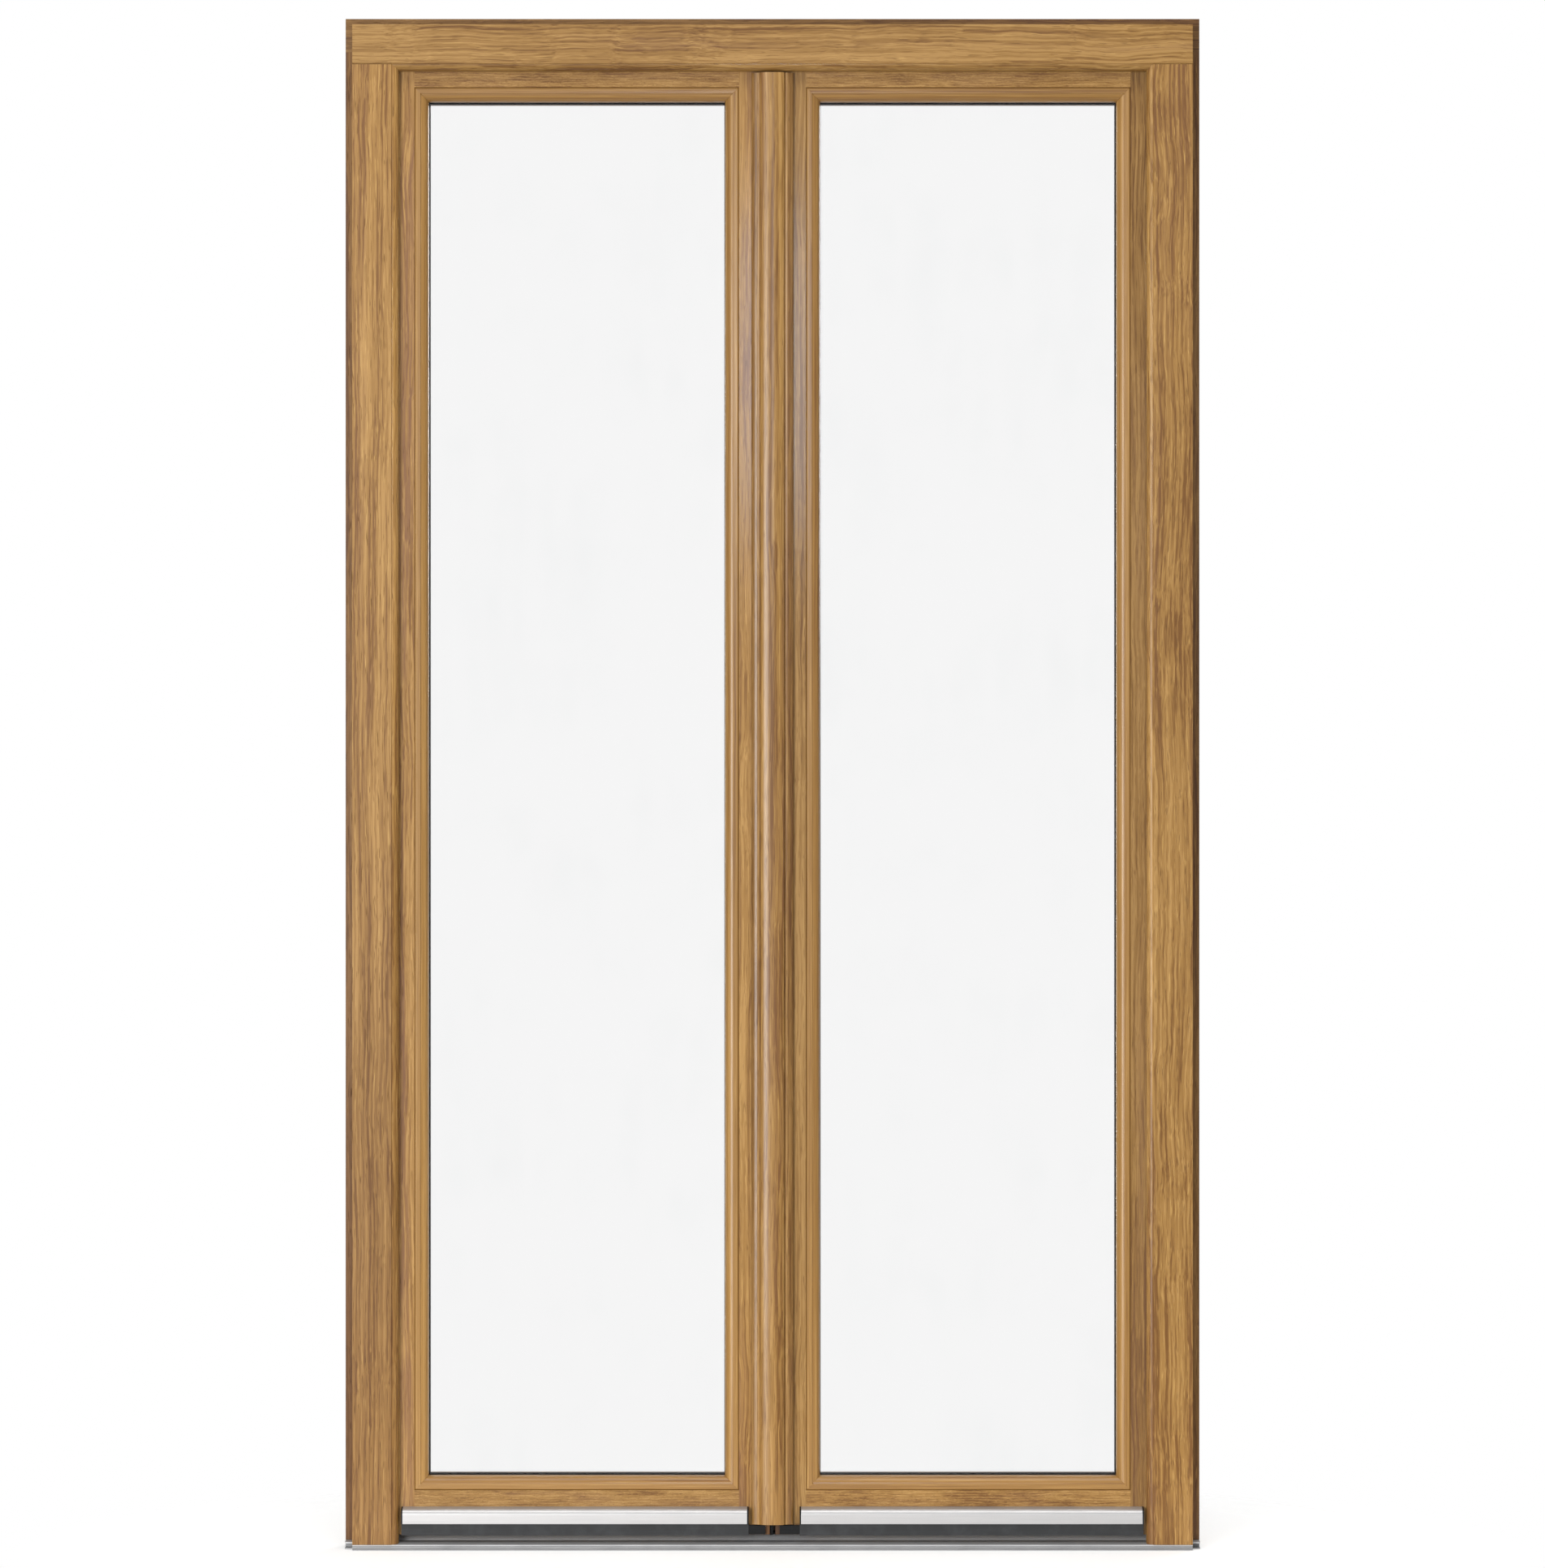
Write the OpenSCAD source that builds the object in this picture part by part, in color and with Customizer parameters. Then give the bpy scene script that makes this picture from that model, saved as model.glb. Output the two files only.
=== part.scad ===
// French doors: a timber frame with two glazed leaves that open inwards.
// X runs to the right, Y inwards from the outer face of the frame, Z up.
// The origin is the middle of the threshold's underside, on the outer face.

/* [Frame] */
// Width over the jambs
frame_w = 1200; // [1000:10:1800]
// Height from the underside of the threshold to the top of the head
frame_h = 2148; // [1750:1:2600]
// Depth of the frame members
frame_d = 68; // [62:1:82]
// Width of the frame members behind the outer lip
body_w = 47; // [42:1:60]
// Width of the frame members at the outer lip
lip_w = 76; // [68:0.5:90]
// Thickness of the outer lip
lip_t = 18; // [16:1:22]
// Radius of the round on the lip's inner edge
round_r = 8.5; // [5:0.5:12]
// Depth of the quirk beside the round
quirk = 1.2; // [0.5:0.1:2]
// Width of the step on the outside of the frame
step_w = 11.5; // [6:0.5:16]
// Depth of that step
step_d = 35; // [25:1:45]
// Radius of the fixing holes
fixing_r = 3.75; // [3:0.25:5]
// Distance of the outer fixing holes from the frame's ends
fixing_end = 150; // [120:5:190]

/* [Threshold] */
// Height of the threshold
sill_h = 17.5; // [16:0.5:20]
// Height of its nose
nose_h = 7.5; // [6:0.5:9]
// Height at the back of its outer slope
slope_h = 10.8; // [9.5:0.1:12]
// Depth of the outer slope
slope_d = 33; // [30:1:34]
// Width of the plastic strip that parts the two metal profiles
strip_w = 5; // [4:0.5:6]
// Wall of the metal profiles
sill_wall = 2; // [1.5:0.1:2.2]

/* [Leaves] */
// Thickness of the overlap on the inside of the frame
overlap_t = 18; // [15:0.5:22]
// Gap between the frame's faces and a leaf
leaf_gap = 2; // [1.5:0.5:3]
// Air gap around a leaf's edge
leaf_air = 12; // [11:0.5:13]
// Clearance above the threshold
leaf_lift = 2.5; // [2:0.5:5]
// Width of the overlap on the inside of the frame
overlap_w = 20; // [18:0.5:22]
// Width of the hinge stile and the top rail, without bead or overlap
stile_w = 38.5; // [34:0.5:60]
// Width of the meeting stile, without bead or overlap
meet_w = 43.1; // [40:0.1:60]
// Height of the bottom rail, without bead
bottom_h = 62; // [58:1:140]
// Gap between the two meeting stiles
meet_gap = 8; // [7:0.5:12]
// Width of the leading leaf's overlap at the meeting stiles
meet_overlap = 24; // [20:0.5:26]
// Radius of the round on the room side of the glass
inner_r = 6; // [3:0.5:10]
// Shoulder between the leaf's outer face and the tenons
tenon_in = 5; // [4:0.5:6]

/* [Glazing] */
// Width of the glazing beads
bead_w = 19.8; // [16:0.1:24]
// Thickness of the glazing beads
bead_t = 18; // [14:1:20]
// Thickness of one pane
pane_t = 4; // [4:0.5:5]
// Space between the panes
pane_space = 16; // [12:1:16]
// Thickness of the glazing seals
glaze_seal = 2; // [1.5:0.5:3]
// Clearance around the glass
glass_clear = 5; // [3:0.5:6]

/* [Astragal] */
// Width of the astragal
astragal_w = 59; // [54:0.5:66]
// Thickness of the astragal
astragal_t = 18; // [16:0.5:18.5]
// Height of its lower end above the threshold
astragal_lift = 17.5; // [16.5:0.5:22]
// Gap between its upper end and the head's lip
astragal_top = 2; // [1.5:0.5:4]

/* [Weather bars] */
// Height of the bars
bar_h = 22.9; // [20:0.1:26]
// Projection of the bars from the leaf
bar_d = 18; // [14:0.5:19]
// Height of the bars' lower edge above the threshold
bar_lift = 18.9; // [18:0.1:24]
// Wall of the bars
bar_wall = 1.8; // [1.4:0.1:2.5]
// Gap between a bar and the frame's lip
bar_side = 3.5; // [2.5:0.5:6]
// Gap between the astragal and the bar on its own leaf
bar_gap_own = 4; // [3:0.5:12]
// Gap between the astragal and the bar on the leading leaf
bar_gap_lead = 8.5; // [8.5:0.5:14]

/* [Hinges] */
// Radius of the knuckles
knuckle_r = 7.5; // [6.5:0.5:8]
// Height of one knuckle
knuckle_h = 33; // [26:1:45]
// Radius of the pins
pin_r = 3.5; // [3:0.5:4.5]
// Radius of the studs that hold the knuckles
stud_r = 4; // [3:0.5:5]
// Distance from the overlap's edge to the hinge axis
hinge_out = 10; // [9.5:0.5:12]
// Distance from the frame's inner face to the hinge axis
hinge_in = 12; // [10.5:0.5:13]
// Distance of the end hinges from the leaf's ends
hinge_end = 230; // [200:5:280]

/* [Bolts and knob] */
// Radius of the bolts
bolt_r = 4; // [3.5:0.5:4.5]
// Travel of the bolts
bolt_travel = 18; // [16.5:0.5:18]
// Distance of the bolts from the middle of the doors
bolt_x = 13; // [12.5:0.5:14]
// Width of the face plates
plate_w = 18; // [16:0.5:18]
// Thickness of the face plates
plate_t = 2.5; // [2:0.5:3]
// Height of the knob
knob_z = 1050; // [900:10:1150]
// Clearance between the rods and the knob's spindle
spindle_gap = 0.25; // [0.25:0.25:4]
// Length of the knob
knob_l = 64; // [50:1:76]
// Diameter of the knob at its middle
knob_d = 26; // [20:1:30]

/* [Hidden] */
$fn = 48;

fit = 0.1;        // running clearance of bolts, pins and spindle
near = 0.3;       // space left between seals or knobs and what they close on
cut = 1;          // how far a cutter runs past a face

// Planes across the depth of the doors
leaf_y0 = lip_t + leaf_gap;
overlap_y = frame_d + leaf_gap;
leaf_y1 = overlap_y + overlap_t;
bead_y1 = leaf_y0 + bead_t;
glass_y0 = bead_y1 + glaze_seal;
glass_y1 = glass_y0 + 2 * pane_t + pane_space;
lip_y = glass_y1 + glaze_seal;

// Lines of the left leaf, the right one being its mirror image
wall_x = -frame_w / 2;
x_edge = wall_x + body_w + leaf_air;
x_rebate = x_edge + stile_w;
x_sight = x_rebate + bead_w;
m_edge = -meet_gap / 2;
m_rebate = m_edge - meet_w;
m_sight = m_rebate - bead_w;
lead_tip = meet_overlap - meet_gap / 2;
meet_clear = 4;
z_edge0 = sill_h + leaf_lift;
z_rebate0 = z_edge0 + bottom_h;
z_sight0 = z_rebate0 + bead_w;
z_edge1 = frame_h - body_w - leaf_air;
z_rebate1 = z_edge1 - stile_w;
z_sight1 = z_rebate1 - bead_w;
z_over = z_edge1 + overlap_w;

// The bolts drop into the threshold just behind its rise
keeper_r = 6.5;
inner_y = slope_d + strip_w;
rise_d = 5;
keeper_rim = 0.5;
bolt_y = inner_y + rise_d + keeper_r + keeper_rim;

// Hinges, bolts and fixings
hinge_x = x_edge - overlap_w - hinge_out;
hinge_y = frame_d + hinge_in;
hinge_z = [z_edge0 + hinge_end, (z_edge0 + z_edge1) / 2, z_edge1 - hinge_end];
stud_l = 32;
pin_l = 25;
plate_len = 225;
guide_l = 25;
slot_l = 36;
case_h = 120;
bolt_rest = 1.5;
spindle = 5;
spindle_r = 3.75; // radius of the case's bore for the spindle
knob_x = bolt_x + bolt_r + spindle_r + spindle_gap;
fixing_y = (step_d + frame_d) / 2 - 1;
fixing_z = [fixing_end, 2 * frame_h / 6, 4 * frame_h / 6, frame_h - fixing_end];
fixing_x = frame_w / 4;

oak = "#b88a52";
oak_bead = "#b98f5a";
alloy = "#c9cacb";
dark = "#4b4c4e";
black = "#1d1d1f";
brass = "#a98a4a";

function arc(c, r, a0, a1, n = 8) =
  [for (i = [0:n]) let (a = a0 + (a1 - a0) * i / n) c + r * [cos(a), sin(a)]];

// Extrudes an outline drawn in X and Y upwards
module along_z(z0, z1) translate([0, 0, z0]) linear_extrude(z1 - z0) children();
// Extrudes an outline drawn in Y and Z to the right
module along_x(x0, x1) translate([x0, 0, 0]) rotate([90, 0, 90]) linear_extrude(x1 - x0) children();
// Extrudes an outline drawn in X and Z inwards
module along_y(y0, y1) translate([0, y1, 0]) rotate([90, 0, 0]) linear_extrude(y1 - y0) children();
module block(p, q) translate(p) cube(q - p);
module right_side() mirror([1, 0, 0]) children();
module both_sides() { children(); right_side() children(); }

// ---- frame ----

// Section of the frame members: distance from the outer edge, then depth
frame_section = concat(
  [[step_w, 0], [lip_w - round_r - quirk, 0], [lip_w - round_r - quirk / 2, quirk]],
  arc([lip_w - round_r, round_r + quirk], round_r, -90, 0),
  [[lip_w, lip_t], [body_w, lip_t], [body_w, frame_d], [0, frame_d], [0, step_d], [step_w, step_d]]);

// The head runs over the jambs; only the round is mitred into theirs
module head_ends() along_y(-cut, lip_t) polygon([
  [wall_x - cut, frame_h - lip_w + round_r], [wall_x + lip_w - round_r, frame_h - lip_w + round_r],
  [wall_x + lip_w, frame_h - lip_w], [wall_x + lip_w, frame_h - lip_w - cut],
  [wall_x - cut, frame_h - lip_w - cut]]);

module frame_head() color(oak) difference() {
  along_x(wall_x, -wall_x) polygon([for (p = frame_section) [p[1], frame_h - p[0]]]);
  both_sides() {
    head_ends();
    block([wall_x - cut, -cut, frame_h - 2 * lip_w], [wall_x + step_w, step_d, frame_h + cut]);
    translate([-fixing_x, fixing_y, frame_h - body_w - cut]) cylinder(r = fixing_r, h = body_w + 2 * cut);
    translate([-bolt_x, bolt_y, frame_h - body_w - cut]) cylinder(r = bolt_r + 1, h = cut + bolt_travel);
    dowels();
  }
}

module jamb() color(oak) difference() {
  translate([wall_x, 0, 0]) along_z(0, frame_h - body_w) polygon(frame_section);
  along_y(-cut, lip_t) polygon([
    [wall_x - cut, frame_h - lip_w + round_r], [wall_x + lip_w - round_r, frame_h - lip_w + round_r],
    [wall_x + lip_w, frame_h - lip_w], [wall_x + lip_w + cut, frame_h - lip_w],
    [wall_x + lip_w + cut, frame_h], [wall_x - cut, frame_h]]);
  along_x(wall_x - cut, wall_x + lip_w + cut) polygon(sill_outline);
  for (z = fixing_z)
    translate([wall_x - cut, fixing_y, z]) rotate([0, 90, 0]) cylinder(r = fixing_r, h = body_w + 2 * cut);
  for (z = hinge_z)
    translate([hinge_x, frame_d + cut, z - knuckle_h / 2]) rotate([90, 0, 0])
      cylinder(r = stud_r, h = stud_l + cut);
  dowels();
  sill_screws();
}

// Two dowels join each jamb to the head
module dowels() for (y = [frame_d - 12, frame_d - 30])
  translate([wall_x + body_w - 12, y, frame_h - body_w - 28]) cylinder(r = 4, h = 48);
module frame_dowels() color(oak) both_sides() dowels();

// ---- threshold ----

foot = 1.5;       // thickness of the threshold's underside
// Outline of the whole threshold: depth, then height
sill_outline = [[-cut, -cut], [-cut, nose_h], [1, nose_h + 0.4], [slope_d, slope_h], [inner_y, slope_h],
  [inner_y + rise_d, sill_h], [frame_d, sill_h], [frame_d + cut, sill_h], [frame_d + cut, -cut]];
rib = 0.8;
nose_section = [[0, 0], [0, 1.2], [rib, 1.7], [0, 2.2], [0, 4.6], [rib, 5.1], [0, 5.6],
  [0, nose_h - 0.4], [1, nose_h + 0.4], [slope_d, slope_h], [slope_d, 0]];

module sill_ends() both_sides()
  block([wall_x - cut, -cut, -cut], [wall_x + step_w, step_d - 16, sill_h + cut]);

module threshold_outer() color(alloy) difference() {
  along_x(wall_x, -wall_x) difference() {
    polygon(nose_section);
    polygon([[3, foot], [3, nose_h - sill_wall], [slope_d / 2 - 1, (nose_h + slope_h) / 2 - sill_wall],
      [slope_d / 2 - 1, foot]]);
    polygon([[slope_d / 2 + 1, foot], [slope_d / 2 + 1, (nose_h + slope_h) / 2 - sill_wall],
      [slope_d - sill_wall, slope_h - sill_wall], [slope_d - sill_wall, foot]]);
  }
  sill_ends();
  both_sides() sill_screws();
}

module threshold_strip() color(dark)
  along_x(wall_x, -wall_x)
    polygon([[slope_d, 0], [slope_d, slope_h - 2], [inner_y, slope_h - 2], [inner_y, 0]]);

module threshold_inner() color(alloy) difference() {
  along_x(wall_x, -wall_x) difference() {
    polygon([[inner_y, 0], [inner_y, slope_h], [inner_y + rise_d, sill_h], [frame_d, sill_h],
      [frame_d, 0]]);
    polygon([[inner_y + sill_wall, foot], [inner_y + sill_wall, slope_h - 1],
      [inner_y + rise_d + 1, sill_h - sill_wall], [frame_d - sill_wall, sill_h - sill_wall],
      [frame_d - sill_wall, foot]]);
  }
  both_sides() {
    translate([-bolt_x, bolt_y, foot + 0.5]) cylinder(r = keeper_r, h = sill_h);
    sill_screws();
  }
}

// Two screws fix the threshold under each jamb
screw_at = [[body_w / 2 + 3, slope_d - 9], [body_w / 2 + 3, frame_d - 12]];
module sill_screws() for (p = screw_at) translate([wall_x + p[0], p[1], 0]) {
  cylinder(r = 4.5, h = foot + 0.5);
  cylinder(r = 2.5, h = 60);
}
module threshold_screws() color(alloy) both_sides() sill_screws();

// ---- keepers ----

keeper_t = 2.5;
module head_keepers() color(alloy) both_sides() difference() {
  block([-bolt_x - 9, lip_t + 8, frame_h - body_w - keeper_t],
    [-bolt_x + 9, frame_d - 2, frame_h - body_w]);
  translate([-bolt_x, bolt_y, frame_h - body_w - keeper_t - cut])
    cylinder(r = bolt_r + 1, h = keeper_t + 2 * cut);
}

module threshold_keepers() color(dark) both_sides() translate([-bolt_x, bolt_y, foot + 0.5]) difference() {
  cylinder(r = keeper_r, h = sill_h - foot - 0.5);
  translate([0, 0, 1]) cylinder(r = bolt_r + 1, h = sill_h);
}

// ---- hinges ----

module frame_hinges() color(alloy) for (z = hinge_z) {
  difference() {
    translate([hinge_x, hinge_y, z - knuckle_h]) cylinder(r = knuckle_r, h = knuckle_h);
    translate([hinge_x, hinge_y, z - pin_l]) cylinder(r = pin_r, h = pin_l + cut);
  }
  translate([hinge_x, hinge_y, z - pin_l]) cylinder(r = pin_r, h = 2 * pin_l);
  difference() {
    translate([hinge_x, hinge_y, z - knuckle_h / 2]) rotate([90, 0, 0])
      cylinder(r = stud_r, h = hinge_in + stud_l);
    translate([hinge_x, hinge_y, z - knuckle_h]) cylinder(r = knuckle_r - 0.5, h = knuckle_h);
  }
}

// The studs of the leaf's knuckles go through the edge of its overlap
module leaf_studs() for (z = hinge_z)
  translate([hinge_x, (overlap_y + leaf_y1) / 2, z + knuckle_h / 2]) rotate([0, 90, 0])
    cylinder(r = stud_r, h = hinge_out + stud_l);

module hinge_sockets() color(alloy) difference() {
  union() {
    for (z = hinge_z) translate([hinge_x, hinge_y, z + 0.5]) cylinder(r = knuckle_r, h = knuckle_h);
    leaf_studs();
  }
  for (z = hinge_z)
    translate([hinge_x, hinge_y, z - cut]) cylinder(r = pin_r + fit / 2, h = pin_l + 2 * cut);
}

// ---- leaves ----

hinge_section = concat(
  [[x_edge - overlap_w, overlap_y], [x_edge, overlap_y], [x_edge, leaf_y0], [x_rebate, leaf_y0],
    [x_rebate, lip_y], [x_sight, lip_y]],
  arc([x_sight - inner_r, leaf_y1 - inner_r], inner_r, 0, 90),
  [[x_edge - overlap_w, leaf_y1]]);

// The passive leaf is stepped back where the leading leaf's overlap covers it
function meeting_section(leads) = concat(
  [[m_sight, lip_y], [m_rebate, lip_y], [m_rebate, leaf_y0], [m_edge, leaf_y0]],
  leads ? [[m_edge, overlap_y], [lead_tip, overlap_y], [lead_tip, leaf_y1]]
    : [[m_edge, frame_d], [-lead_tip - meet_clear, frame_d], [-lead_tip - meet_clear, leaf_y1]],
  arc([m_sight + inner_r, leaf_y1 - inner_r], inner_r, 90, 180));

top_section = concat(
  [[leaf_y0, z_rebate1], [leaf_y0, z_edge1], [overlap_y, z_edge1], [overlap_y, z_over], [leaf_y1, z_over]],
  arc([leaf_y1 - inner_r, z_sight1 + inner_r], inner_r, 0, -90),
  [[lip_y, z_sight1], [lip_y, z_rebate1]]);

bottom_section = concat(
  [[leaf_y0, z_edge0], [leaf_y0, z_rebate0], [lip_y, z_rebate0], [lip_y, z_sight0]],
  arc([leaf_y1 - inner_r, z_sight0 - inner_r], inner_r, 90, 0),
  [[leaf_y1, z_edge0]]);

module stile_blank(section) difference() {
  along_z(z_edge0, z_over) polygon(section);
  block([x_edge - cut, 0, z_edge1], [lead_tip + cut, overlap_y, z_over + cut]);
}

// Tenons of both rails, through a stile from x0 to x1 and clear of the bolts' plates
module tenon(x0, x1, z0, z1) block([x0, leaf_y0 + tenon_in, z0 + 7],
  [x1, bolt_y - plate_w / 2 - 2, z1 - 7]);
module tenons(x0, x1) {
  tenon(x0, x1, z_edge0, z_rebate0);
  tenon(x0, x1, z_rebate1, z_edge1);
}

module hinge_stile() color(oak) difference() {
  stile_blank(hinge_section);
  tenons(x_edge - cut, x_rebate + cut);
  seal_barbs(false);
  leaf_studs();
}

module meeting_stile(leads) color(oak) difference() {
  stile_blank(meeting_section(leads));
  tenons(m_rebate - cut, m_edge + cut);
  seal_barbs(leads);
  if (leads) {
    lock_pockets();
  } else {
    bolt_pockets();
  }
}

module rail(section, z0, z1, leads) color(oak) {
  difference() {
    along_x(x_rebate, m_rebate) polygon(section);
    along_z(z0 - cut, z1 + cut) polygon(hinge_section);
    along_z(z0 - cut, z1 + cut) polygon(meeting_section(leads));
    seal_barbs(leads);
  }
  intersection() {
    block([x_edge, 0, z0], [m_edge, leaf_y1, z1]);
    union() {
      tenons(x_edge, x_rebate);
      tenons(m_rebate, m_edge);
    }
  }
}
module top_rail(leads) rail(top_section, z_sight1, z_over, leads);
module bottom_rail(leads) rail(bottom_section, z_edge0, z_sight0, leads);

// ---- seals of the leaves ----

barb_w = 3;
barb_d = 5;
barb_in = 2;      // from the overlap's edge to the barb
bulb = 1;         // how much wider the bulb is than the barb, each side
foot_seal_y = frame_d - 7;
meet_seal_x = lead_tip - 8;

module seal_strips(leads, grow, y0, y1) {
  x0 = x_edge - overlap_w + barb_in;
  z1 = z_over - barb_in;
  x1 = leads ? lead_tip - barb_in : -lead_tip - meet_clear;
  block([x0 - grow, y0, z_edge0], [x0 + barb_w + grow, y1, z1 + grow]);
  block([x0 + barb_w + grow, y0, z1 - barb_w - grow], [x1, y1, z1 + grow]);
  if (leads) block([meet_seal_x - grow, y0, z_edge0],
    [meet_seal_x + barb_w + grow, y1, z_edge1 - barb_in]);
}
module foot_strip(grow, z0, z1)
  block([x_edge + 0.5, foot_seal_y - grow, z0], [m_edge - 0.5, foot_seal_y + barb_w + grow, z1]);

module seal_barbs(leads) {
  seal_strips(leads, 0, overlap_y, overlap_y + barb_d);
  foot_strip(0, z_edge0, z_edge0 + barb_d);
}
module edge_seals(leads) color(black) {
  seal_barbs(leads);
  seal_strips(leads, bulb, frame_d + near, overlap_y);
  foot_strip(bulb, sill_h + near, z_edge0);
}

// ---- glazing ----

// Bead section: distance from the stile, then depth
bead_step = 8.5;
bead_face = leaf_y0 + 0.4;
bead_edge = bead_y1 - 4;
bead_section = concat(
  [[0, bead_y1], [0, leaf_y0 + 2.4], [1.8, bead_face], [bead_step, bead_face],
    [bead_step, bead_face + 1.8]],
  [for (i = [1:8]) let (a = 90 * i / 8)
    [bead_step + (bead_w - bead_step) * sin(a), bead_edge - (bead_edge - bead_face - 1.8) * cos(a)]],
  [[bead_w, bead_y1]]);

// Fields of the four mitred beads, in X and Z
module field_side(x, w, z0, z1) along_y(0, frame_d)
  polygon([[x, z0], [x + w, z0 + bead_w], [x + w, z1 - bead_w], [x, z1]]);
module field_level(z, h) along_y(0, frame_d)
  polygon([[x_rebate, z], [x_rebate + bead_w, z + h], [m_rebate - bead_w, z + h], [m_rebate, z]]);

module bead_hinge_side() color(oak_bead) intersection() {
  translate([x_rebate, 0, 0]) along_z(z_rebate0, z_rebate1) polygon(bead_section);
  field_side(x_rebate, bead_w, z_rebate0, z_rebate1);
}
module bead_meeting_side() color(oak_bead) intersection() {
  translate([m_rebate, 0, 0]) mirror([1, 0, 0]) along_z(z_rebate0, z_rebate1) polygon(bead_section);
  field_side(m_rebate, -bead_w, z_rebate0, z_rebate1);
}
module bead_top() color(oak_bead) intersection() {
  along_x(x_rebate, m_rebate) polygon([for (p = bead_section) [p[1], z_rebate1 - p[0]]]);
  field_level(z_rebate1, -bead_w);
}
module bead_bottom() color(oak_bead) intersection() {
  along_x(x_rebate, m_rebate) polygon([for (p = bead_section) [p[1], z_rebate0 + p[0]]]);
  field_level(z_rebate0, bead_w);
}

// A plate or, with a hole, a ring that follows the edge of the glass
module glass_plate(inset, y0, y1) block(
  [x_rebate + glass_clear + inset, y0, z_rebate0 + glass_clear + inset],
  [m_rebate - glass_clear - inset, y1, z_rebate1 - glass_clear - inset]);
module glass_ring(inset, w, y0, y1) difference() {
  glass_plate(inset, y0, y1);
  glass_plate(inset + w, y0 - cut, y1 + cut);
}
spacer_w = 9;
module pane_outer() color("#dfe6e6", 0.35) glass_plate(0, glass_y0, glass_y0 + pane_t);
module pane_inner() color("#dfe6e6", 0.35) glass_plate(0, glass_y1 - pane_t, glass_y1);
module pane_spacer() color(dark) glass_ring(0, spacer_w, glass_y0 + pane_t, glass_y1 - pane_t);

seal_w = 5;
seal_proud = 0.8;
module glazing_seals() color(black) {
  glass_ring(bead_w - glass_clear + seal_proud - seal_w, seal_w, bead_y1, glass_y0);
  glass_ring(bead_w - glass_clear + seal_proud - seal_w, seal_w, glass_y1, lip_y);
}

block_l = 80;
module setting_blocks() color(black) for (x = [x_rebate + 60, m_rebate - 60 - block_l])
  block([x, glass_y0, z_rebate0], [x + block_l, glass_y1, z_rebate0 + glass_clear]);

// ---- astragal on the passive leaf ----

half_w = astragal_w / 2;
core_w = half_w - 13;  // half width of its round middle
face_y = leaf_y0 - astragal_t;
seal_gap = 1.5;
edge_y = min(face_y + 13.6, leaf_y0 - seal_gap - 1);
// Outline of its left half: distance from the middle, then depth
astragal_half = concat(
  [for (i = [0:8]) let (a = 90 * i / 8) [core_w * sin(a), face_y + 4.5 * (1 - cos(a))]],
  [[core_w, face_y + 8], [core_w + 1, face_y + 8.6], [core_w + 1.6, face_y + 7.4],
    [half_w - 8, face_y + 7.4], [half_w - 8, face_y + 8.6]],
  [for (i = [1:6]) let (a = 90 * i / 6) [half_w - 8 + 8 * sin(a), edge_y - 5 * cos(a)]]);

astragal_z = sill_h + astragal_lift;
module astragal() color(oak) difference() {
  along_z(astragal_z, frame_h - lip_w - astragal_top) polygon(concat(
    [for (p = astragal_half) [-p[0], p[1]]],
    [[-half_w, leaf_y0], [m_edge, leaf_y0], [m_edge, leaf_y0 - seal_gap], [half_w, leaf_y0 - seal_gap]],
    [for (i = [len(astragal_half) - 1:-1:1]) astragal_half[i]]));
  translate([0, 0, astragal_z - cut]) linear_extrude(frame_h) astragal_barb();
}
module astragal_barb() translate([14, leaf_y0 - seal_gap - 4]) square([barb_w, 4]);
module astragal_seal() color(black) along_z(astragal_z, frame_h - lip_w - astragal_top) {
  astragal_barb();
  translate([14 - bulb, leaf_y0 - seal_gap]) square([barb_w + 2 * bulb, seal_gap - near]);
}

// ---- weather bars and drip seals ----

bar_z0 = sill_h + bar_lift;
bar_z1 = bar_z0 + bar_h;
bar_y0 = leaf_y0 - bar_d;
bar_r = 8;
bar_x0 = wall_x + lip_w + bar_side;
cap_t = 2;
// Section of a bar, drawn inwards by the wall w
function bar_section(w) = concat(
  [[leaf_y0, bar_z0], [bar_y0 + w, bar_z0]],
  arc([bar_y0 + bar_r, bar_z1 - 2 - bar_r], bar_r - w, 180, 100),
  [[leaf_y0, bar_z1 - w]]);

module bar_place(gap) along_x(bar_x0 + cap_t, -half_w - gap - cap_t) children();
module weather_bar(gap) color(alloy) bar_place(gap) difference() {
  polygon(bar_section(0));
  difference() {
    polygon(bar_section(bar_wall));
    translate([leaf_y0 - 1.5, bar_z0 - cut]) square([cut + 1.5, bar_h + 2 * cut]);
  }
}
module bar_end_caps(gap) color(black) {
  along_x(bar_x0, bar_x0 + cap_t) polygon(bar_section(0));
  along_x(-half_w - gap - cap_t, -half_w - gap) polygon(bar_section(0));
  // The foot of the inner cap fills the space under the astragal
  block([-half_w - gap, drip_y0, z_edge0 + 1], [m_edge - 6, leaf_y0, astragal_z - 1.5]);
}

drip_y0 = leaf_y0 - 7;
drip_z0 = sill_h + 1.9;
module drip_seal(gap) color(dark) along_x(bar_x0, -half_w - gap) polygon([
  [leaf_y0, z_edge0 + 1], [drip_y0 + 2, z_edge0 + 1], [drip_y0 + 1, drip_z0], [drip_y0 - 0.5, drip_z0],
  [drip_y0, z_edge0 + 2], [drip_y0, bar_z0], [leaf_y0, bar_z0]]);

// ---- bolts in the edge of the passive leaf ----

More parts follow.
